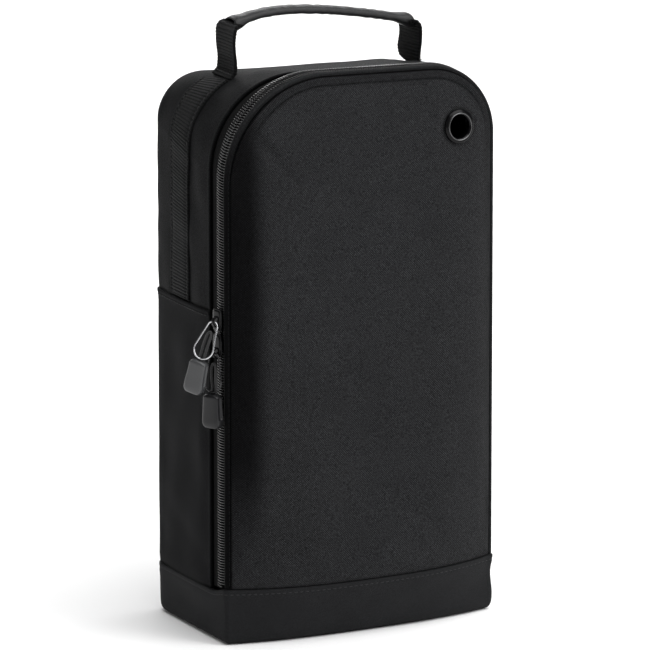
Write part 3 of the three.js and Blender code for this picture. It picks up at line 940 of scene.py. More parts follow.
def webbing_ribs(length: Array) -> Array:
    """Height of the webbing's cross ribs along it, from 0 to 1, one row for each place."""
    return np.abs(np.sin(length / 2.1 * math.pi))[:, None] ** 0.7


def strip_uv(points: Array) -> Array:
    """Flat places of a grid of points: across by the middle row, along by the middle column."""
    rows, cols = points.shape[:2]
    along = path_length(points[:, cols // 2])
    across = path_length(points[rows // 2])
    return np.stack(np.broadcast_arrays(across[None, :], along[:, None]), -1)


# ---------------------------------------------------------------- shell
@dataclass
class Shell:
    """Everything sewn to the back half: gusset, sides, band, base, back, webbing strips."""

    dresser: Dresser
    thickness: float = 1.8
    front_edge: float = -19.0  # the gusset's edge beside the zipper
    webbing_front: float = 7.5
    webbing_back: float = 32.5
    body: str = "bag"

    def calm(self, y: Array, rise: float = 14.0) -> Array:
        """Share of the ripples that the seams at the front edge and the back leave."""
        near = smoothstep(self.front_edge, self.front_edge + rise, y)
        return near * smoothstep(SHAPE.back - 2, SHAPE.back - 16, y)

    def side_columns(self) -> tuple[Array, Array]:
        """Depths across the gusset from its front edge to the back seam, and its inset at each."""
        r = SHAPE.edge_round
        turn = np.linspace(0, QUARTER / 2, 8)
        start = SHAPE.back - r
        hem = self.front_edge + np.array([0, 0.25, 0.8, 1.8, 3.2])
        flat = np.concatenate([hem, np.linspace(self.front_edge + 5, start - 1, 26)])
        y = np.concatenate([flat, start + r * np.sin(turn)])
        inset = np.concatenate([np.zeros(len(flat)), r * (1 - np.cos(turn))])
        hem = roll_off(y - self.front_edge, 1.0) + 0.25 * lump(y, self.front_edge + 2.6, 0.7)
        seam = 1.3 * np.exp(-np.abs(y - y[-1]) / 0.9)
        return y, inset + hem + seam

    def wall(
        self, name: str, q: Array, foot: Array | float, lips: Array, seed: int, wave: float
    ) -> bpy.types.Object:
        """A padded wall along part of the arch.

        Args:
            name: the piece's name.
            q: stations along the arch.
            foot: height of the arch's feet for each depth.
            lips: extra inset for each station, as at a folded edge.
            seed, wave: which ripples it has, and how long they are.

        Returns:
            The piece.
        """
        y, inset = self.side_columns()
        grid_q, grid_y = np.meshgrid(q, y, indexing="ij")
        flat = SHAPE.arch(grid_q, grid_y, 0, foot)
        run = flat[..., 2] + flat[..., 0] * 0.7
        calm = self.calm(grid_y)
        under = smoothstep(self.webbing_front - 4, self.webbing_front + 2, grid_y) * smoothstep(
            self.webbing_back + 4, self.webbing_back - 2, grid_y)
        waves = 0.55 * ripple(run, grid_y * 1.4, seed, wave) * calm * (1 - 0.8 * under)
        swell = 0.9 * SHAPE.swell(grid_y) * self.over_top(q)
        pull = 0.35 * np.sin(run / 4.6 + 2 * np.sin(run / 31)) * np.exp(-(SHAPE.back - 3 - grid_y) / 7)
        total = inset[None, :] + lips[:, None] - waves - swell * calm * (1 - 0.6 * under) - pull * 0.5
        outer = SHAPE.arch(grid_q, grid_y, total, foot)
        inner = SHAPE.arch(grid_q, grid_y, np.maximum(total, inset[None, :]) + self.thickness, foot)
        inner[..., 1] = np.minimum(inner[..., 1], SHAPE.back - 3.2)
        edge = np.minimum(np.abs(grid_y - self.front_edge), np.abs(y[-1] - grid_y))
        # painted shade: along the front and back seams, and a band under the folded lip
        folded = 0.35 * np.exp(-np.abs(lips[:, None] - 0.5) * 9) * (lips[:, None] > 0.1)
        painted_shade = 0.75 * np.exp(-edge / 0.7) + folded
        return cloth(name, outer, inner, strip_uv(flat), np.clip(painted_shade, 0, 1))

    @staticmethod
    def over_top(q: Array) -> Array:
        """Less swelling over the top than at the sides, one row for each station."""
        return np.where((q > 1) & (q < 4), 0.3, 1)[:, None]

    def build_gusset(self) -> None:
        """The upper gusset: one strip up the left side, over the top and down the right side."""
        seam = SHAPE.side_seam
        q = SHAPE.stations(34, 26, 40)
        side_run = (SHAPE.top - SHAPE.front_radii[0] - seam) * np.minimum(q, 5 - q)
        lips = 0.55 * np.exp(-side_run / 2.5)
        gusset = self.wall("upper_gusset_cloth", q, seam - 0.4, lips, 11, 46)
        self.keep(gusset, Finish.BODY_WEAVE, "gusset_fabric", "upper_gusset")

    def build_lower_side(self, name: str, sign: int, seed: int) -> None:
        """A lower side, which overlaps the gusset at a folded, topstitched edge.

        Args:
            name: left or right.
            sign: -1 or 1.
            seed: which ripples it has.
        """
        seam = SHAPE.side_seam
        y, inset = self.side_columns()
        rows = np.concatenate([np.linspace(0, 0.97, 56), [0.98, 0.987, 0.993, 0.997, 1.0]])
        grid_r, grid_y = np.meshgrid(rows, y, indexing="ij")
        foot = SHAPE.band_top(0, grid_y) - 1.0
        z = foot + (seam - foot) * grid_r
        calm = self.calm(grid_y, 12)
        waves = 0.75 * ripple(z, grid_y * 1.3, seed, 60) * calm
        waves = waves * smoothstep(seam, seam - 20, z) * smoothstep(30, 50, z)
        drag = 0.5 * np.exp(-((z - 55 - 0.5 * grid_y) / 9) ** 2) * calm
        swell = 1.3 * SHAPE.swell(grid_y) * calm
        topstitch = 0.3 * lump(z, seam - 3.4, 0.8)
        lip = roll_off(seam - z, 0.9) - 0.75 * smoothstep(seam - 7, seam - 1.5, z) + topstitch
        tuck = 0.7 * smoothstep(6, 0, z - foot)
        total = inset[None, :] + lip + tuck - waves - swell + drag
        within = np.maximum(total, inset[None, :]) + self.thickness
        outer = np.stack([sign * (SHAPE.side - total), grid_y, z], -1)
        inner = np.stack([sign * (SHAPE.side - within), np.minimum(grid_y, SHAPE.back - 3.2), z], -1)
        edge = np.minimum(np.abs(grid_y - self.front_edge), np.abs(y[-1] - grid_y))
        # painted shade along both seams and along the foot where the side meets the band
        painted_shade = np.clip(0.75 * np.exp(-edge / 0.7) + 0.6 * np.exp(-(z - foot) / 1.6), 0, 1)
        piece = cloth(f"lower_side_{name}_cloth", outer, inner, np.stack([grid_y, z], -1), painted_shade)
        self.keep(piece, Finish.SMOOTH_CLOTH, "smooth_fabric", f"lower_side_{name}")
        line = np.linspace(self.front_edge + 2, SHAPE.back - 6, 40)
        out = SHAPE.side + 0.62 + 1.3 * SHAPE.swell(line) * self.calm(line, 12)
        path = np.stack([sign * out, line, np.full(40, seam - 3.4)], -1)
        run = stitches(f"side_seam_{name}_stitches", path, np.tile([sign, 0, 0], (40, 1)))
        self.dresser.dress(run, Finish.THREAD, self.body, "smooth_fabric")

    def keep(self, piece: bpy.types.Object, finish: Finish, slot: str, *nodes: str) -> None:
        self.dresser.dress(piece, finish, self.body, slot, nodes)
        self.dresser.declare(piece)

    def build_back(self) -> None:
        """The back panel, rounded into the seam that runs along the back edges, and the binding inside."""
        r = SHAPE.edge_round
        rim = r * (1 - math.cos(QUARTER / 2))
        q = np.concatenate([np.linspace(0, 1, 70, endpoint=False), np.linspace(1, 2, 26)])
        x, z = SHAPE.spanned(SHAPE.back, rim, SHAPE.band_side - 1.0, q, 61, 1.5)
        inside = np.maximum(SHAPE.inside(x, z, SHAPE.back), rim)
        swell = 2.4 * smoothstep(0, 60, inside) * (0.6 + 0.4 * smoothstep(60, 160, z))
        waves = 0.6 * ripple(x, z * 0.8, 31, 70) * smoothstep(4, 30, inside)
        seam = 1.3 * np.exp(-(inside - rim) / 0.9)
        y = SHAPE.back - roll_off(inside, r) + swell + waves - seam
        outer = np.stack([x, y, z], -1)
        inner = np.stack([x * 0.99, np.minimum(y, SHAPE.back - roll_off(inside, r)) - 2.2, z], -1)
        # painted shade along the seam round the back edges
        painted_shade = 0.75 * np.exp(-(inside - rim) / 0.8)
        panel = cloth("back_panel_cloth", outer, inner, np.stack([x, z], -1), painted_shade)
        self.keep(panel, Finish.BODY_WEAVE, "woven_fabric", "back_panel")
        stations = SHAPE.stations(30, 20, 20)
        across = np.linspace(SHAPE.back - 10.5, SHAPE.back - 4.5, 5)
        sq, sy = np.meshgrid(stations, across, indexing="ij")
        tape = [SHAPE.arch(sq, sy, depth + 0.15 * np.cos(sq * 60), 40) for depth in (3.4, 4.4)]
        piece = cloth("back_seam_binding_tape", tape[0], tape[1], strip_uv(tape[0]))
        self.dresser.dress(piece, Finish.BINDING, self.body, "binding_tape", ["back_seam_binding"])

    def band_ring(self, inset: float) -> Array:
        """The band's outline in plan at band height.

        Args:
            inset: how far inside the outer face.

        Returns:
            One row for each point: x, y and the outward direction's x and y.
        """
        points: list[tuple[float, float, float, float]] = []
        side, back = SHAPE.side, SHAPE.back
        r, front_r = 12.0, SHAPE.border
        half, front = side - front_r, SHAPE.front + front_r

        def corner(cx: float, cy: float, radius: float, start: float) -> None:
            """Adds a quarter round."""
            for turn in start + np.linspace(0, QUARTER, 9):
                nx, ny = math.cos(turn), math.sin(turn)
                points.append((cx + (radius - inset) * nx, cy + (radius - inset) * ny, nx, ny))

        def line(x0: float, y0: float, x1: float, y1: float, count: int, nx: float, ny: float) -> None:
            """Adds points between two corners."""
            for part in np.linspace(0, 1, count + 2)[1:-1]:
                x, y = x0 + (x1 - x0) * part, y0 + (y1 - y0) * part
                points.append((x - nx * inset, y - ny * inset, nx, ny))

        corner(side - r, back - r, r, 0)
        line(side - r, back, -side + r, back, 34, 0, 1)
        corner(-side + r, back - r, r, QUARTER)
        line(-side, back - r, -side, front, 18, -1, 0)
        corner(-half, front, front_r, 2 * QUARTER)
        line(-half, SHAPE.front, half, SHAPE.front, 43, 0, -1)
        corner(half, front, front_r, 3 * QUARTER)
        line(side, front, side, back - r, 18, 1, 0)
        return np.array(points)

    @staticmethod
    def front_stand(ring: Array, z: Array | float) -> Array:
        """How far the belly pushes the band's front outwards at each point of its outline."""
        half = SHAPE.side - SHAPE.border
        on_front = (ring[:, 3] < -0.9) & (np.abs(ring[:, 0]) < half)
        return np.where(on_front, SHAPE.belly(ring[:, 0] / half, z), 0)

    def band_wall(self, rows: Array, inset: float) -> tuple[Array, Array, Array]:
        """One face of the band.

        Args:
            rows: shares of its height, from 0 to 1.
            inset: how far inside the outer face.

        Returns:
            The grid of points, the distance run round the band, and the height of its upper edge.
        """
        ring = self.band_ring(inset)
        top = SHAPE.band_top(ring[:, 0], ring[:, 1])
        z = rows[:, None] * top[None, :]
        down = top[None, :] - z
        run = np.broadcast_to(path_length(ring[:, :2])[None, :], z.shape)
        lip = roll_off(down, 0.9) - 0.9 * smoothstep(0.72, 0.96, rows)[:, None] + 0.35 * lump(down, 3.2, 0.8)
        fold = roll_off(z, 5.5) * 0.75
        waves = 0.55 * ripple(run, z * 2.2, 41, 44) * smoothstep(0, 8, z) * smoothstep(0, 8, down)
        dent = 0.9 * lump(run, 150, 26) * np.sin(rows[:, None] * math.pi)
        outward = waves - dent - lip - fold
        x = ring[None, :, 0] + ring[None, :, 2] * outward
        y = ring[None, :, 1] + ring[None, :, 3] * outward - self.front_stand(ring, z)
        return np.stack([x, y, z], -1), run, top

    def build_band(self) -> None:
        """The bottom band with its folded upper edge and its stitches."""
        stitched = 0.91
        low = [0, 0.012, 0.035, 0.07, 0.12, 0.2, 0.3, 0.4, 0.5, 0.6, 0.7]
        rows = np.array([*low, 0.78, 0.84, 0.88, stitched, 0.94, 0.962, 0.978, 0.99, 1.0])
        outer, run, top = self.band_wall(rows, 0.0)
        inner = self.band_wall(rows, self.thickness)[0]
        across = np.concatenate([run, run[:, :1] + run.max() + 3], 1)
        uv_ring = np.stack([across[:, :-1], outer[..., 2]], -1)
        height = top[None, :] - outer[..., 2]
        # painted shade under the folded upper edge and along the floor
        painted_shade = np.clip(0.5 * np.exp(-height / 0.5) + 0.4 * np.exp(-outer[..., 2] / 1.5), 0, 1)
        band = cloth("base_band_cloth", outer, inner, uv_ring, painted_shade, wrap=True)
        self.keep(band, Finish.BAND_CLOTH, "smooth_fabric", "base_band")
        row = int(np.argmin(np.abs(rows - stitched)))
        ring = self.band_ring(0)
        line = np.concatenate([outer[row], outer[row, :1]])
        direction = np.concatenate([np.c_[ring[:, 2:4], np.zeros(len(ring))], [[*ring[0, 2:4], 0]]])
        run_stitches = stitches("band_stitches", line - direction * 0.05, direction)
        self.dresser.dress(run_stitches, Finish.THREAD, self.body, "smooth_fabric")

    def plate(self, name: str, low: float, high: float, inset: float) -> bpy.types.Object:
        """A flat plate that fills the band.

        Args:
            name: the piece's name.
            low, high: heights of its two faces.
            inset: how far inside the band's outer face it ends.

        Returns:
            The piece.
        """
        ring = self.band_ring(inset)
        rim = np.stack([ring[:, 0], ring[:, 1] - self.front_stand(ring, 2.0)], -1)
        centre = np.array([0.0, 8.0])
        shares = np.array([1.0, 0.985, 0.96, 0.9, 0.75, 0.55, 0.35, 0.15, 0.0])
        plan = centre + (rim - centre)[None] * shares[:, None, None]
        drop = roll_off((1 - shares) * 70, 1.2)[:, None] * 0.5
        bottom, upper = (
            np.concatenate([plan, np.broadcast_to(level[..., None], (*plan.shape[:2], 1))], -1)
            for level in (low + drop, high - drop)
        )
        piece = cloth(name, bottom, upper, plan, wrap=True)
        self.close_middle(piece)
        return piece

    def build_base(self) -> None:
        """The base panel and the stiffener board that lies on it."""
        panel = self.plate("base_panel_cloth", 0.2, 2.0, 2.3)
        self.dresser.dress(panel, Finish.SMOOTH_CLOTH, self.body, "smooth_fabric", ["base_panel"])
        self.dresser.declare(panel, "laid")
        board = self.plate("base_board_sheet", 2.3, 4.2, 5.2)
        self.dresser.dress(board, Finish.BOARD, self.body, "stiffener_board", ["base_board"])

    @staticmethod
    def close_middle(piece: bpy.types.Object) -> None:
        """Welds the points that meet in the middle of a plate."""
        mesh = bmesh.new()
        mesh.from_mesh(piece.data)
        bmesh.ops.remove_doubles(mesh, verts=mesh.verts, dist=1e-7)
        bmesh.ops.delete(mesh, geom=[e for e in mesh.edges if not e.link_faces], context="EDGES")
        mesh.to_mesh(piece.data)
        mesh.free()

    def build_webbing(self, name: str, line_q: Array) -> None:
        """Ribbed webbing up one side and round its corner, sewn down along both edges.

        Args:
            name: left or right.
            line_q: where it goes, as places along the arch.
        """
        front, foot = self.webbing_front, SHAPE.side_seam + 0.5
        width = self.webbing_back - front
        run = path_length(SHAPE.arch(line_q, front + width / 2, -1.5, foot))
        rows = int(run[-1] / 0.42)
        length = np.linspace(0, run[-1], rows)
        q = np.interp(length, run, line_q)
        w = np.array([0, 0.02, 0.05, 0.09, 0.16, 0.3, 0.5, 0.7, 0.84, 0.91, 0.95, 0.98, 1.0])
        gather = 0.035 * np.sin(length / 9.0) * np.sin(length / 23.0 + 1)
        grid_q, grid_w = np.meshgrid(q, w, indexing="ij")
        y = front + width * (0.5 + (grid_w - 0.5) * (1 + gather[:, None]))
        edge = np.minimum(grid_w, 1 - grid_w) * width
        rib = webbing_ribs(length)
        uneven = 0.75 + 0.5 * np.sin(length / 5.3)[:, None] * np.sin(length / 17.0 + 2)[:, None]
        sewn = lump(edge, 2.4, 0.9)
        height = 1.25 + 0.42 * rib * uneven * (1 - 0.7 * sewn) - 0.45 * sewn - roll_off(edge, 0.7)
        ends = smoothstep(0, 1.5, length)[:, None]
        swell = 0.9 * SHAPE.swell(y) * self.over_top(q) * 0.4
        outer = SHAPE.arch(grid_q, y, -(height * ends + swell), foot)
        inner = SHAPE.arch(grid_q, y, 0.25 - swell, foot)
        uv = np.stack([grid_w * width, np.broadcast_to(length[:, None], y.shape)], -1)
        # painted shade along both edges and at the strip's start
        painted_shade = np.clip(0.5 * np.exp(-edge / 0.4) + 0.6 * np.exp(-length / 1.0)[:, None], 0, 1)
        piece = cloth(f"webbing_{name}_strip", outer, inner, uv, painted_shade)
        self.keep(piece, Finish.WEBBING, "webbing", f"webbing_{name}")
        runs = []
        for side, at in (("front", 0.095), ("back", 0.905)):
            path, above = (SHAPE.arch(q[::3], front + width * at, inset, foot) for inset in (-1.438, -3.0))
            runs.append(stitches(f"webbing_{name}_{side}_run", path, unit(above - path), 2.4, 1.0, 0.28))
        self.dresser.dress(join(f"webbing_{name}_stitches", runs), Finish.THREAD, self.body, "webbing")

    def build(self) -> None:
        """Makes the whole shell."""
        self.build_gusset()
        self.build_lower_side("left", -1, 21)
        self.build_lower_side("right", 1, 22)
        self.build_back()
        self.build_band()
        self.build_base()
        self.build_webbing("left", np.linspace(0, 1.70, 900))
        self.build_webbing("right", 5 - np.linspace(0, 1.80, 900))


# ---------------------------------------------------------------- front flap
@dataclass
class FrontFlap:
    """The domed front panel, its border strip, the stitches and the eyelet."""

    dresser: Dresser
    border_thickness: float = 1.8
    panel_thickness: float = 2.2
    pillow: float = 2.2  # how far the padding stands over the border seam
    foot: float = 36.5
    eyelet_side: float = 65.4
    eyelet_height: float = 318.2
    eyelet_hole: float = 7.3
    eyelet_rim: float = 10.9
    body: str = "flap"

    def panel_face(self, x: Array, z: Array) -> tuple[Array, Array]:
        """Depth of the panel's outer face at a place, and the painted shade there: in its seam and along a
        line near its top.
        """
        d = np.maximum(SHAPE.inside(x, z, SHAPE.front) - SHAPE.border, 0)
        half = SHAPE.side - SHAPE.border
        pillow = self.pillow * (1 - np.exp(-d / 5.5))
        stand = SHAPE.belly(x / half, z)
        waves = 0.5 * ripple(x * 1.2, z * 0.7, 51, 62) * smoothstep(4, 30, d) * smoothstep(40, 70, z)
        phase = (x * 0.8 + z) / 6.5 + 2.2 * np.sin(z / 37)
        tuck = 0.8 * np.exp(-d / 5) * np.sin(phase) * smoothstep(0.5, 4, d)
        crease = 2.4 * np.exp(-(((x + 74) * 0.75 + (z - 322) * 0.66) / 3.6) ** 2) * lump(x - z, -388, 22)
        low = 0.9 * lump(z, 60, 9) * lump(x, -58, 30)
        line = lump(SHAPE.inside(x, z, SHAPE.front), 8.4, 0.8) * smoothstep(292, 338, z)
        raised = stand + pillow * smoothstep(36, 52, z) + waves + tuck
        y = SHAPE.front - 0.2 + 0.5 * line - raised + crease + low * 0.5
        # painted shade in the border seam and along the raised line near the top
        painted_shade = np.maximum(0.95 * np.exp(-d / 0.6), 0.75 * line)
        return y, painted_shade

    def build_panel(self) -> None:
        """The woven panel with a real hole for the eyelet."""
        q = np.concatenate([np.linspace(0, 1, 110, endpoint=False), np.linspace(1, 2, 46)])
        x, z = SHAPE.spanned(SHAPE.front, SHAPE.border, self.foot, q, 119, 1.35)
        dx, dz = x - self.eyelet_side, z - self.eyelet_height
        away = np.hypot(dx, dz)
        push = np.maximum(self.eyelet_hole + 1.3 - away, 0)
        x += dx / np.maximum(away, 0.3) * push
        z += dz / np.maximum(away, 0.3) * push
        y, painted_shade = self.panel_face(x, z)
        away = np.hypot(x - self.eyelet_side, z - self.eyelet_height)
        y = y + 0.7 * smoothstep(self.eyelet_rim + 3.5, self.eyelet_rim - 0.5, away)
        margin = np.maximum(SHAPE.inside(x, z, SHAPE.front) - SHAPE.border, 0)
        from_left = x + SHAPE.side - SHAPE.border
        # painted shade: a ring round the eyelet, a band down the left margin where the panel turns away from
        # the light, and a band along the border seam
        for shade in (
            0.5 * lump(away, self.eyelet_rim, 1.2),
            0.86 * smoothstep(24, 9, from_left) * smoothstep(40, 130, z),
            0.30 * smoothstep(10, 2, margin) * smoothstep(40, 60, z),
        ):
            painted_shade = np.maximum(painted_shade, shade)
        outer = np.stack([x, y, z], -1)
        inner = np.stack([x, y + self.panel_thickness, z], -1)
        piece = cloth("front_panel_cloth", outer, inner, np.stack([x, z], -1), painted_shade)
        self.cut_hole(piece)
        self.dresser.dress(piece, Finish.FRONT_WEAVE, self.body, "woven_fabric", ["front_panel"])
        self.dresser.declare(piece)

    def cut_hole(self, piece: bpy.types.Object) -> None:
        """Opens the eyelet's hole through both faces of the panel and closes its wall."""
        mesh = bmesh.new()
        mesh.from_mesh(piece.data)
        reach = (self.eyelet_hole + 1.25) * MM + 0.1 * MM
        middle = Vector((self.eyelet_side * MM, self.eyelet_height * MM))
        within = {v for v in mesh.verts if (v.co.xz - middle).length < reach}
        gone = [f for f in mesh.faces if within.issuperset(f.verts)]
        bmesh.ops.delete(mesh, geom=gone, context="FACES")
        rims = [e for e in mesh.edges if len(e.link_faces) == 1]
        bmesh.ops.bridge_loops(mesh, edges=rims)
        mesh.to_mesh(piece.data)
        mesh.free()

    def build_border(self) -> None:
        """The border strip, folded round the front corner between the zipper and the panel's seam."""
        turn = np.linspace(0, QUARTER, 9)
        r, rim = 2.2, SHAPE.border - 0.15
        start = 0.35 + r  # where the round ends and the flat front begins
        flat_part = np.array([0.15, 0.38, 0.6, 0.76, 0.9, 1.0])
        corner = SHAPE.front + r + 0.2 - r * np.sin(turn)
        y = np.concatenate([[-37.5, -37.55], corner, np.full(6, SHAPE.front - 0.2)])
        inset = np.concatenate([[1.0, 0.5], start - r * np.cos(turn), start + (rim - start) * flat_part])
        depth = 0.7 * np.exp(-(rim - inset) / 0.4) + 0.2 * lump(inset, rim - 1.1, 0.35)
        q = SHAPE.stations(120, 46, 70)
        grid_q, grid_y = np.meshgrid(q, y, indexing="ij")
        grid_i = np.broadcast_to(inset, grid_q.shape)
        flat = SHAPE.arch(grid_q, grid_y, grid_i, self.foot)
        run = path_length(flat[:, 5])[:, None]
        pucker = 0.16 * np.sin(run / 1.9 + 1.4 * np.sin(run / 13)) * lump(grid_i, rim - 1.2, 1.2)
        outer = SHAPE.arch(grid_q, grid_y + depth + pucker, grid_i, self.foot)
        inner_y = np.minimum(grid_y + self.border_thickness, -36.4) + 0.6
        inner = SHAPE.arch(grid_q, inner_y, np.minimum(grid_i + 1.6, rim + 0.05), self.foot)
        uv = np.stack(np.broadcast_arrays(path_length(np.stack([y, inset, inset * 0], -1))[None, :], run), -1)
        # painted shade along the panel seam and the zipper edge, and over the left side and left corner of
        # the strip
        painted_shade = np.clip(0.9 * np.exp(-(rim - grid_i) / 0.4) + 0.3 * (grid_i < 0.6), 0, 1)
        painted_shade = np.maximum(painted_shade, 0.86 * smoothstep(1.75, 0.9, grid_q))
        piece = cloth("front_border_strip", outer, inner, uv, painted_shade)
        self.dresser.dress(piece, Finish.BORDER_WEAVE, self.body, "gusset_fabric", ["front_border"])
        self.dresser.declare(piece)
        line_q = SHAPE.stations(60, 30, 40)
        path = SHAPE.arch(line_q, SHAPE.front - 0.28, rim - 1.2, 37.5)
        outwards = np.tile([0.0, -1.0, 0.0], (len(path), 1))
        seam = stitches("border_stitches", path, outwards, 2.3, 1.0, 0.22)
        self.dresser.dress(seam, Finish.DARK_THREAD, self.body, "gusset_fabric")

    def eyelet_place(self) -> Matrix:
        """The frame of the eyelet on the panel: its own Z points out of the panel."""
        def at(dx: float, dz: float) -> Vector:
            """A place on the panel's face, sunk as the eyelet presses it."""
            x = np.array(self.eyelet_side + dx)
            z = np.array(self.eyelet_height + dz)
            return Vector((float(x), float(self.panel_face(x, z)[0]) + 0.7, float(z)))

        reach = self.eyelet_rim
        across = (at(reach, 0) - at(-reach, 0)).normalized()
        up = (at(0, reach) - at(0, -reach)).normalized()
        out = up.cross(across).normalized() * -1
        if out.y > 0:
            out.negate()
        turn = Matrix((across, out.cross(across), out)).transposed().to_4x4()
        return Matrix.Translation((at(reach, 0) + at(-reach, 0)) / 2) @ turn

    def build_eyelet(self) -> None:
        """The rolled flange with its barrel, a lighter ring on its lip as painted highlight, and the washer
        behind the cloth.
        """
        place = self.eyelet_place()
        hole, rim = self.eyelet_hole, self.eyelet_rim
        middle, half = (hole + rim) / 2, (rim - hole) / 2
        bench = Bench("eyelet_rolled_flange").circle(20, 1.0, (middle, 0, 0.9)).resize((half, 1, 1.45))
        bench.pick(lambda co, _: co.z < 0.2 and co.x > middle, "verts").move((0, 0, 0.35))
        bench.pick(lambda co, _: co.z < 0.6 and co.x < middle - 0.4 * half, "verts").move((0, 0, -3.4))
        flange = bench.lathe(64).done(place, 60)
        self.dresser.dress(flange, Finish.LACQUER, self.body, "eyelet_metal", ["eyelet_flange"])
        # a thin lighter ring on the rolled lip: painted highlight
        lip = Bench("eyelet_lip_painted_highlight").circle(10, 0.42, (hole + 1.15, 0, 2.15)).lathe(64).done(place, 60)
        self.dresser.dress(lip, Finish.RIM, self.body, "eyelet_metal")
        bench = Bench("eyelet_back_washer").circle(12, 0.5, (hole + 2.9, 0, -3.9)).resize((3.0, 1, 0.9))
        washer = bench.lathe(48).done(place, 60)
        self.dresser.dress(washer, Finish.LACQUER, self.body, "eyelet_metal", ["eyelet_washer"])

    def build(self) -> None:
        """Makes the whole flap."""
        self.build_panel()
        self.build_border()
        self.build_eyelet()


# ---------------------------------------------------------------- zipper
@dataclass
class Zipper:
    """Two tapes and the two coils whose turns mesh."""

    dresser: Dresser
    pitch: float = 1.7
    wire: float = 0.41  # radius of the coil's nylon
    low: float = 0.35  # lowest and highest point of the coil's middle line over the tape
    high: float = 2.45
    reach: float = 3.9

    def tape(self, name: str, profile: Sequence[Sequence[float]], foot: float, body: str, node: str) -> None:
        """One tape.

        Args:
            name: the piece's name.
            profile: three rows, with t, n and extra depth (y) of the points across it.
            foot: height of its ends.
            body, node: what it rides on and stands for.
        """
        q = SHAPE.stations(60, 40, 50)
        t, n, shift = (np.array(row, float) for row in profile)
        faces = []
        for drop in (0.0, 0.8):
            y, inset = chain_point(t, n - drop)
            grid_q, grid_y = np.meshgrid(q, y + shift, indexing="ij")
            faces.append(SHAPE.arch(grid_q, grid_y, np.broadcast_to(inset, grid_q.shape), foot))
        piece = cloth(name, faces[0], faces[1], strip_uv(faces[0]))
        self.dresser.dress(piece, Finish.ZIPPER_TAPE, body, "zipper_tape", [node])

    def coil(self, name: str, side: int, foot: float, body: str, node: str) -> None:
        """One continuous flattened coil.

        Args:
            name: the piece's name.
            side: 1 for the flap's row, -1 for the body's.
            foot: height of its ends.
            body, node: what it rides on and stands for.
        """
        line_q = np.linspace(0, 5, 2600)
        y, inset = chain_point(0.0, 1.5)
        run = path_length(SHAPE.arch(line_q, y, inset, foot))
        turns = int(run[-1] / self.pitch) - 1
        per_turn = 14
        phase = np.arange(turns * per_turn + 1) / per_turn
        start = (0.5 if side > 0 else 1.0) * self.pitch
        angle = 2 * math.pi * phase
        lean = 0.16 * np.sin(angle) * self.pitch
        s = start + phase * self.pitch + lean
        head = -0.45
        middle = (self.reach + head) / 2
        t = side * (middle - (self.reach - head) / 2 * np.sign(np.cos(angle)) * np.abs(np.cos(angle)) ** 0.8)
        n = (self.low + self.high) / 2 + (self.high - self.low) / 2 * np.sin(angle)
        n = n + 0.25 * lump(np.abs(t), 0.2, 0.7)
        y, inset = chain_point(t, n)
        q = np.interp(s, run, line_q)
        inset = inset - 1.0 * smoothstep(1.2, 2.0, np.minimum(q, 5 - q))
        path = SHAPE.arch(q, y, inset, foot)
        before, after = (SHAPE.arch(np.clip(q + step, 0, 5), y, inset, foot) for step in (-0.002, 0.002))
        thick = self.wire * (1 + 0.3 * lump(np.abs(t), 0.3, 0.6))
        piece = tube(name, path, unit(after - before), thick, 5)
        self.dresser.dress(piece, Finish.COIL, body, "zipper_teeth", [node])

    def sewing(self, name: str, t: float, foot: float, body: str) -> None:
        """The chain stitches that hold a coil to its tape."""
        q = SHAPE.stations(60, 40, 50)
        y, inset = chain_point(t, 0.1)
        y_out, inset_out = chain_point(t, 1.1)
        path = SHAPE.arch(q, y, inset, foot)
        above = SHAPE.arch(q, y_out, inset_out, foot)
        piece = stitches(name, path, unit(above - path), 1.3, 0.4, 0.26)
        self.dresser.dress(piece, Finish.THREAD, body, "zipper_tape")

    def build(self) -> None:
        """Makes both halves."""
        bottom = SHAPE.band_side + 2.0
        wide = (
            (-0.3, -1.5, -3.0, -4.6, -7.0, -9.5, -12.0, -13.6, -13.8),
            (0, 0, 0, 0, -0.1, -0.5, -1.1, -1.4, -1.4),
            (0, 0, 0, 0, 0, 0, 0, 0, 2.5),
        )
        narrow = ((0.3, 1.5, 3.0, 4.6, 6.2), [0] * 5, [0] * 5)
        self.tape("zipper_tape_body_half", wide, bottom, "bag", "zipper_tape_body")
        self.tape("zipper_tape_flap_half", narrow, 36.4, "flap", "zipper_tape_flap")
        self.coil("zipper_coil_body_half", -1, bottom + 0.4, "bag", "zipper_teeth_body")
        self.coil("zipper_coil_flap_half", 1, 36.9, "flap", "zipper_teeth_flap")
        self.sewing("zipper_tape_body_stitches", -5.0, bottom + 0.4, "bag")
        self.sewing("zipper_tape_flap_stitches", 5.0, 36.9, "flap")


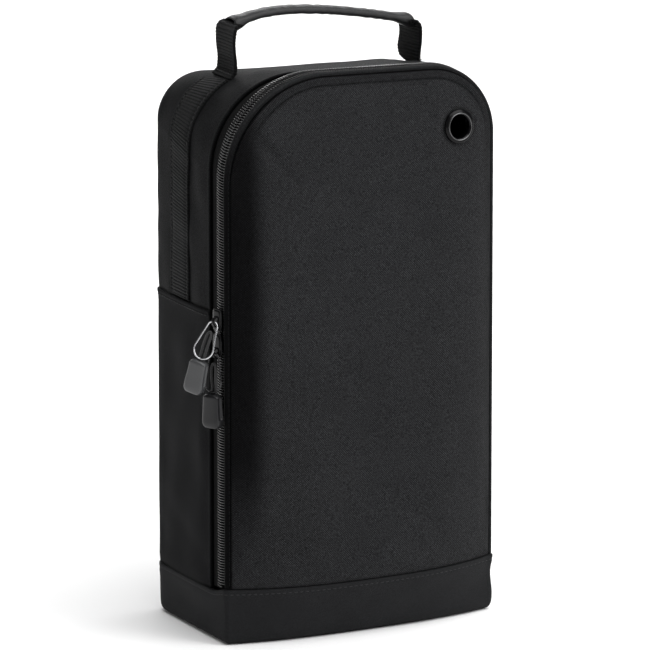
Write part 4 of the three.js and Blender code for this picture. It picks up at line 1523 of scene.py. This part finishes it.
@dataclass
class Slider:
    """One zipper slider with its bridge, wire ring, cord loop and moulded tab."""

    dresser: Dresser
    place: str  # upper or lower
    height: float  # middle of the slider
    turn: float  # how the pull hangs: turned about the vertical, swung sideways, leaning outwards, in degrees
    sway: float
    lean: float
    bridge_at: float
    flip: bool  # True if its wide end points down
    plate_low: float = 3.8
    plate_top: float = 5.0
    half_width: float = 4.7
    length: float = 15.0
    slot: float = 3.0
    wire: float = 0.52  # radius of the ring's wire
    cord: float = 0.85  # radius of the cord
    ring_length: float = 24.5
    ring_top: float = 3.5
    ring_bottom: float = 6.6
    tab_drop: float = 1.7

    def chain_frame(self) -> Matrix:
        """The slider's own frame: X across the chain to the front, -Y outwards, Z up."""
        spot = Matrix.Translation((-(SHAPE.side - SHAPE.chain_inset), SHAPE.chain_y, self.height))
        return spot @ Matrix.Rotation(SHAPE.chain_tilt - QUARTER, 4, "Z")

    def pivot(self) -> Vector:
        """Where the ring hangs in its bridge, in the slider's frame."""
        return Vector((0, -(self.plate_top + GAP + self.slot / 2), self.bridge_at))

    def hang(self, lean: bool) -> Matrix:
        """How the pull is turned in the slider's frame."""
        tilt = Matrix.Rotation(-math.radians(self.lean), 4, "X") if lean else Matrix.Identity(4)
        sway = Matrix.Rotation(math.radians(self.sway), 4, "Y")
        return Matrix.Rotation(math.radians(self.turn), 4, "Z") @ sway @ tilt

    def pull_frame(self) -> Matrix:
        """The frame of the ring and the cord: its origin is where the ring hangs."""
        return self.chain_frame() @ Matrix.Translation(self.pivot()) @ self.hang(True)

    def build_body(self) -> None:
        """The casting: shield plate with rails, wedge post, lower plate and flange."""
        up = -1.0 if self.flip else 1.0
        half, end = self.half_width, self.length / 2
        frame_here = self.chain_frame()
        thick, level = self.plate_top - self.plate_low, -(self.plate_low + self.plate_top) / 2
        bench = Bench("top").block((2 * half, thick, self.length * 0.36), (0, level, 0))
        bench.pick(lambda _, n: n.z * up > 0.9).extrude((0, 0, up * self.length * 0.20), (0.97, 1, 1))
        bench.extrude((0, 0, up * self.length * 0.12), (0.74, 0.8, 1))
        bench.pick(lambda _, n: n.z * up < -0.9).extrude((0, 0, -up * self.length * 0.22), (0.84, 1, 1))
        bench.extrude((0, 0, -up * self.length * 0.10), (0.70, 0.8, 1))
        bench.pick(lambda _, n: n.y < -0.9).inset(1.0).extrude((0, -0.45, 0), (0.86, 1, 0.92))
        bench.round_off(0.32, 3, 25)
        top = bench.done(frame_here, 50)
        bench = Bench("post").block((0.6, 5.4, 6.2), (0, -1.3, up * end * 0.45))
        bench.pick(lambda _, n: n.z * up > 0.9).resize((2.4, 1, 1))
        bench.round_off(0.15, 2)
        post = bench.done(frame_here)
        bench = Bench("sole").block((8.0, 1.1, self.length * 0.7), (0, 1.7, 0))
        bench.pick(lambda _, n: abs(n.z) > 0.9).resize((0.7, 1, 1))
        bench.round_off(0.3, 2)
        sole = bench.done(frame_here)
        place = (-half + 0.2, -(self.plate_low + 0.7) / 2 - 0.1, -up * 0.4)
        bench = Bench("flange").block((0.5, self.plate_low - 0.5, self.length * 0.62), place)
        bench.pick(lambda _, n: abs(n.z) > 0.9).resize((0.8, 0.6, 1))
        bench.round_off(0.2, 2)
        flange = bench.done(frame_here)
        slider = f"slider_{self.place}"
        body = join(f"{slider}_casting", [top, post, sole, flange])
        self.dresser.dress(body, Finish.LACQUER, slider, "slider_metal", [f"{slider}_body"])

    def build_bridge(self) -> None:
        """The arch over the plate that the ring passes through."""
        slider = f"slider_{self.place}"
        base = -self.plate_top + 0.4
        foot = (0, base, self.bridge_at - self.slot / 2 - 1.4 - 0.5)
        bench = Bench(f"{slider}_arch").start(bpy.ops.mesh.primitive_plane_add, size=1, location=foot)
        bench.all().resize((2.0, 1, 1.0)).turn(QUARTER, "X", foot)
        bench.spin((0, base, self.bridge_at), (1, 0, 0), math.pi, 14).close().round_off(0.22, 2, 40)
        arch = bench.done(self.chain_frame(), 50)
        self.dresser.dress(arch, Finish.LACQUER, slider, "slider_metal", [f"{slider}_bridge"])

    def build_ring(self) -> None:
        """The teardrop ring of bent wire: a small arc, a straight side, a large arc and the other side."""
        apart = self.ring_length - self.ring_bottom - self.ring_top
        tangent = QUARTER - math.asin((self.ring_bottom - self.ring_top) / apart)
        top_centre = Vector((0, 0, -self.ring_top))
        low_centre = Vector((0, 0, -self.ring_length + self.ring_bottom))
        slider = f"slider_{self.place}"
        bench = Bench(f"{slider}_wire_ring").start(
            bpy.ops.mesh.primitive_circle_add, vertices=12, radius=self.wire, rotation=(0, QUARTER, 0)
        )
        bench.all().turn(tangent, "Y", top_centre)
        side = 1 if sum(v.co.x for v in bmesh.from_edit_mesh(bench.item.data).verts) > 0 else -1
        bench.spin(top_centre, (0, 1, 0), side * 2 * tangent, 14)
        out = Vector((-side * math.sin(tangent), 0, math.cos(tangent)))
        down = low_centre - top_centre + out * (self.ring_bottom - self.ring_top)
        for _ in range(4):
            bench.extrude(down / 4)
        bench.spin(low_centre, (0, 1, 0), side * 2 * (math.pi - tangent), 22)
        for _ in range(4):
            bench.extrude(Vector((down.x, 0, -down.z)) / 4)
        ring = bench.close(0.05).done(self.pull_frame(), 80)
        # the lower ring gets the darkened copy of the nickel as painted shade
        finish = Finish.GUNMETAL if self.flip else Finish.NICKEL
        self.dresser.dress(ring, finish, f"pull_{self.place}", "pull_wire", [f"{slider}_ring"])

    def build_cord(self) -> None:
        """The braided loop that rises inside the ring and goes down behind its lowest wire into the tab."""
        behind = self.wire + self.cord + GAP
        low = -self.ring_length
        leg = [
            (1.5, behind, low - self.tab_drop - 1.5),
            (1.5, behind, low + 0.3),
            (1.5, behind * 0.9, low + 3.5),
            (1.6, 0.3, low + 9),
            (1.5, 0, -self.ring_top - 5.5),
        ]
        points = [*leg, (0, 0, -self.ring_top - 3.2), *[(-x, y, z) for x, y, z in reversed(leg)]]
        corners = np.array(points)
        marks = np.linspace(0, len(points) - 1, 70)
        path = np.stack([through(corners[:, k], marks) for k in range(3)], -1)
        place = np.array(self.pull_frame())
        path = path @ place[:3, :3].T + place[:3, 3]
        side = place[:3, 1] + place[:3, 2] * 0.01
        piece = tube(f"slider_{self.place}_cord_loop", path, side, self.cord, 10)
        node = f"slider_{self.place}_cord"
        self.dresser.dress(piece, Finish.CORD, f"pull_{self.place}", "pull_cord", [node])

    def build_tab(self) -> None:
        """The moulded grip: flared, rounded, with a groove down each narrow side and a soft foot."""
        head = -self.tab_drop
        bench = Bench(f"slider_{self.place}_moulded_tab").block((11.6, 6.8, 1.8), (0, 0, head - 0.9))
        bench.pick(lambda _, n: n.z > 0.9).extrude((0, 0, 0.5), (0.8, 0.72, 1))
        bench.pick(lambda _, n: n.z < -0.9)
        for drop, wider, deeper in (
            (5.4, 1.03, 1.02),
            (5.6, 1.05, 1.05),
            (3.6, 1.05, 1.06),
            (1.6, 1.0, 1.0),
            (1.6, 0.95, 0.93),
            (1.3, 0.82, 0.78),
            (0.5, 0.72, 0.68),
        ):
            bench.extrude((0, 0, -drop), (wider, deeper, 1))
        bench.round_off(1.15, 1, 50)
        bpy.ops.object.mode_set(mode="EDIT")
        bench.pick(lambda co, n: abs(n.x) > 0.97 and head - 17.0 < co.z < head - 1.0).inset(0.75)
        bench.inset(0.35).resize((0.87, 1, 1)).soften(2)
        bottom = self.hang(True) @ Vector((0, 0, -self.ring_length))
        place = self.chain_frame() @ Matrix.Translation(self.pivot() + bottom) @ self.hang(False)
        tab = bench.done(place, 35)
        # the lower tab gets the darkened copy of the rubber as painted shade
        finish = Finish.DARK_RUBBER if self.flip else Finish.RUBBER
        self.dresser.dress(tab, finish, f"tab_{self.place}", "moulded_tab", [f"slider_{self.place}_tab"])

    def build(self) -> None:
        """Makes the slider and its pull."""
        self.build_body()
        self.build_bridge()
        self.build_ring()
        self.build_cord()
        self.build_tab()


# ---------------------------------------------------------------- handle
@dataclass
class Handle:
    """Two webbing legs that rise from the corners, and a padded grip between them."""

    dresser: Dresser
    spacing: float = 130.0
    middle_y: float = 20.0
    width: float = 25.0
    pivot_z: float = 357.3
    grip_z: float = 381.3
    rise: float = 7.5
    fall: float = 8.5  # how much lower the grip's right end is
    left_shift: float = 3.5

    def build_leg(self, name: str, side: int) -> None:
        """One leg: it leaves the bag beside its seam, stands up and folds over into the grip.

        Args:
            name: left or right.
            side: -1 or 1.
        """
        x0 = side * self.spacing / 2 + (self.left_shift if side < 0 else 0.0)
        ground = float(SHAPE.top_at(x0, self.middle_y)) - 0.6
        radius = float(SHAPE.radius(self.middle_y, side > 0))
        past = max(0.0, abs(x0) - (SHAPE.side - radius))
        ground -= radius - math.sqrt(radius**2 - past**2)
        top = self.grip_z + 2.4 - (self.fall if side > 0 else 0.0)
        start = ground + 3.9  # where it leaves the bag
        tall = top - 4.5 - start
        lie = [(4.8, ground - 0.9), (3.2, ground + 0.6), (1.9, ground + 2.0)]
        rise = [(x, start + share * tall) for x, share in ((0.9, 0), (0.6, 0.25), (1.3, 0.5), (1.7, 0.75))]
        fold = [(1.3, top - 4.5), (0.2, top - 1.6), (-1.8, top - 0.4), (-4.4, top - 1.0)]
        corners = np.array([(x0 + side * x, z) for x, z in (*lie, *rise, *fold)])
        marks = np.linspace(0, len(corners) - 1, 600)
        line = np.stack([through(corners[:, k], marks) for k in range(2)], -1)
        run = path_length(line)
        length = np.linspace(0, run[-1], int(run[-1] / 0.38))
        line = np.stack([np.interp(length, run, line[:, k]) for k in range(2)], -1)
        along = unit(np.gradient(line, axis=0))
        out = np.stack([along[:, 1], -along[:, 0]], -1) * side
        w = np.array([0, 0.02, 0.05, 0.1, 0.2, 0.35, 0.5, 0.65, 0.8, 0.9, 0.95, 0.98, 1.0])
        across = w[None, :] - 0.5
        upright = np.sin(np.clip((length - 4) / (run[-1] - 10), 0, 1) * math.pi)
        waist = 1 - (0.01 if side > 0 else 0.07) * upright - 0.18 * smoothstep(run[-1] - 9, run[-1], length)
        wiggle = 0.45 * np.sin(length / 2.6) * np.sin(length / 7.1 + side)
        y = self.middle_y + across * self.width * waist[:, None] + wiggle[:, None] * across
        twist = (-2.4 if side > 0 else -0.6) * smoothstep(3, 12, length)[:, None] * across
        edge = np.minimum(w, 1 - w)[None, :] * self.width
        swell = (0.8 + 0.4 * np.sin(length / 4.1))[:, None]
        bulge = 0.5 + 0.38 * webbing_ribs(length) * swell - roll_off(edge, 0.6) * 0.8
        cup = 0.5 * (across * 2) ** 2
        shell = []
        for sign in (1, -1):
            shift = sign * (bulge + 0.3) + cup
            x, z = (line[:, None, k] + out[:, None, k] * shift for k in range(2))
            shell.append(np.stack([x + twist, y, z], -1))
        uv = np.stack(np.broadcast_arrays(w[None, :] * self.width, length[:, None]), -1)
        # painted shade where the leg leaves the bag and along both edges
        painted_shade = np.clip(0.75 * lump(length, 4.6, 1.1)[:, None] + 0.4 * np.exp(-edge / 0.4), 0, 1)
        piece = cloth(f"handle_leg_{name}_strap", shell[0], shell[1], uv, painted_shade)
        leg = f"handle_leg_{name}"
        bend = tuple((x0 * MM, self.middle_y * MM, z * MM) for z in (ground + 1.5, self.pivot_z + 3.0))
        self.dresser.dress(piece, Finish.WEBBING, ("bag", leg), "webbing", [leg], bend)
        self.dresser.declare(piece, "gathered")
        y = self.middle_y + np.linspace(-11, 11, 14)
        path = np.stack(np.broadcast_arrays(x0 + side * 4.8, y, ground + 2.9), -1)
        outward = np.tile(unit(np.array([side * 0.7, 0.0, 1.0])), (14, 1))
        bar = stitches(f"{leg}_bartack", path, outward, 2.2, 0.7, 0.32)
        self.dresser.dress(bar, Finish.THREAD, "bag", "webbing")

    def grip_line(self, part: Array) -> Array:
        """Middle line of the grip, arching a little to the left of its centre."""
        reach = self.spacing / 2 - 0.9
        across = 2 * part - 1
        x = across * reach + self.left_shift * (1 - part) + 1.8 * smoothstep(0.5, 1.0, part)
        skew = 1 - np.abs(across + 0.12 * (1 - across**2)) ** 2.2
        drop = 1.3 * np.abs(across) ** 8 + self.fall * smoothstep(0.0, 1.0, part)
        return np.stack([x, np.full_like(x, self.middle_y), self.grip_z + 2.3 + self.rise * skew - drop], -1)

    def grip_section(self, part: Array, turn: Array, slack: float) -> Array:
        """Points of the grip's skin, one row for each place along it.

        Args:
            part: places along it, from 0 to 1.
            turn: places round it.
            slack: how far inside the skin.

        Returns:
            The grid of points.
        """
        line = self.grip_line(part)
        along = unit(np.gradient(line, axis=0))
        over = np.stack([-along[:, 2], np.zeros(len(part)), along[:, 0]], -1)
        end = np.abs(2 * part - 1)
        wide = 6.6 + 1.6 * smoothstep(0.8, 0.97, end) - slack
        deep = 2.75 + 1.5 * smoothstep(0.80, 0.97, end) - slack
        skin = 1.0 if slack < 0.5 else 0.0
        wrinkle = 0.16 * skin * np.sin(part * 92 + 1.5 * np.sin(part * 23))[:, None]
        wrinkle = wrinkle * np.cos(turn * 2 + part[:, None] * 9)
        wrap = 0.35 * skin * lump(turn, -0.9, 0.16)
        a, b = np.cos(turn)[None, :], np.sin(turn)[None, :]
        y = (wide[:, None] + wrinkle) * np.sign(a) * np.abs(a) ** 0.85
        h = (deep[:, None] + wrinkle + wrap[None, :]) * np.sign(b) * np.abs(b) ** 0.85
        oblique = -2.4 * (smoothstep(0.9, 1.0, end) * np.sign(part - 0.5))[:, None] * b
        flat = line[:, None] + np.array([0, 1, 0]) * y[..., None]
        return flat + over[:, None] * h[..., None] + along[:, None] * oblique[..., None]

    def build_grip(self) -> None:
        """The cloth sleeve, its long seam and the foam inside."""
        part = np.linspace(0, 1, 150)
        turn = np.linspace(0, 2 * math.pi, 40, endpoint=False) - math.pi
        outer, inner = self.grip_section(part, turn, 0.0), self.grip_section(part, turn, 1.0)
        run = path_length(self.grip_line(part))
        uv = np.stack(np.broadcast_arrays((turn[None, :] + math.pi) * 5.2, run[:, None]), -1)
        end = np.minimum(part, 1 - part)
        # painted shade at both ends and along the long seam
        painted_shade = np.clip(0.5 * np.exp(-end / 0.004)[:, None] + 0.55 * lump(turn, -1.06, 0.05)[None, :], 0, 1)
        sleeve = cloth("handle_grip_sleeve_cloth", outer, inner, uv, painted_shade, wrap=True)
        self.dresser.dress(sleeve, Finish.GRIP_CLOTH, "handle_grip", "smooth_fabric", ["handle_grip_sleeve"])
        self.dresser.declare(sleeve)
        line = outer[16:-16:3, int(np.argmin(np.abs(turn + 0.72)))]
        direction = unit(line - self.grip_line(part)[16:-16:3])
        seam = stitches("handle_grip_seam_stitches", line, direction, 2.3, 1.0, 0.22)
        self.dresser.dress(seam, Finish.THREAD, "handle_grip", "smooth_fabric")
        core = self.grip_line(np.linspace(0.06, 0.91, 60))
        foam = tube("handle_grip_foam", core, np.array([0.0, 1.0, 0.0]), 1.5, 12)
        self.dresser.dress(foam, Finish.FOAM, "handle_grip", "handle_filler", ["handle_grip_core"])

    def build(self) -> None:
        """Makes the whole handle."""
        self.build_leg("left", -1)
        self.build_leg("right", 1)
        self.build_grip()


# ---------------------------------------------------------------- studio
@dataclass(frozen=True)
class Studio:
    """Pale floor, soft light and the camera."""

    camera_at: tuple[float, float, float] = (-2.3067, -4.4363, 1.3981)
    yaw: float = 27.43
    pitch: float = 13.61
    lens: float = 451.7
    sensor: float = 36.0
    sky: float = 0.27

    def build_floor(self) -> None:
        """A wide plain floor."""
        bpy.ops.mesh.primitive_plane_add(size=40, location=(0, 0, -0.0005))
        floor = bpy.context.active_object
        floor.name = "floor"
        g = Graph("pale_floor")
        g.set(Base_Color=(0.93, 0.93, 0.93, 1), Roughness=0.9, Specular_IOR_Level=0.1)
        floor.data.materials.append(g.material)
        deselect()

    @staticmethod
    def lamp(
        name: str, place: Sequence[float], height: float, size: tuple[float, float], power: float
    ) -> None:
        """One soft rectangular lamp aimed at the bag's middle line, at a height in metres."""
        data = bpy.data.lights.new(name, "AREA")
        data.shape = "RECTANGLE"
        data.size, data.size_y = size
        data.energy = power
        lamp = bpy.data.objects.new(name, data)
        lamp.location = place
        lamp.rotation_euler = (Vector((0, 0, height)) - Vector(place)).to_track_quat("-Z", "Y").to_euler()
        bpy.context.scene.collection.objects.link(lamp)

    def build(self) -> None:
        """Makes the studio."""
        scene = bpy.context.scene
        scene.view_settings.view_transform = "Standard"
        world = bpy.data.worlds.new("studio")
        world.use_nodes = True
        background = world.node_tree.nodes["Background"]
        background.inputs["Color"].default_value = (1, 1, 1, 1)
        background.inputs["Strength"].default_value = self.sky
        scene.world = world
        self.build_floor()
        sky = bpy.data.lights.new("overhead", "SUN")
        sky.energy, sky.angle = 3.3, math.radians(70)
        overhead = bpy.data.objects.new("overhead", sky)
        overhead.rotation_euler = Vector((0.25, -0.2, 1.0)).to_track_quat("Z", "Y").to_euler()
        scene.collection.objects.link(overhead)
        self.lamp("key", (1.1, -1.5, 1.1), 0.2, (0.9, 0.9), 15)
        self.lamp("side", (-1.7, -0.3, 0.9), 0.2, (0.4, 1.0), 1.0)
        self.lamp("rim", (0.4, 1.9, 0.95), 0.36, (1.6, 0.5), 11)
        data = bpy.data.cameras.new("camera")
        data.lens, data.sensor_width = self.lens, self.sensor
        data.clip_start, data.clip_end = 0.1, 100
        camera = bpy.data.objects.new("camera", data)
        camera.location = self.camera_at
        camera.rotation_euler = Euler((math.radians(90 - self.pitch), 0, -math.radians(self.yaw)))
        scene.collection.objects.link(camera)
        scene.camera = camera


def main() -> None:
    """Builds the studio and every sub-assembly."""
    logging.basicConfig(level=logging.INFO, format="%(name)s: %(message)s")
    Studio().build()
    dresser = Dresser()
    Shell(dresser).build()
    FrontFlap(dresser).build()
    Zipper(dresser).build()
    Slider(dresser, "upper", 208.2, 24, 13, 21, -0.7, False).build()
    Slider(dresser, "lower", 192.6, 16, -1, 6.5, -5.1, True).build()
    Handle(dresser).build()


if __name__ == "__main__":
    main()
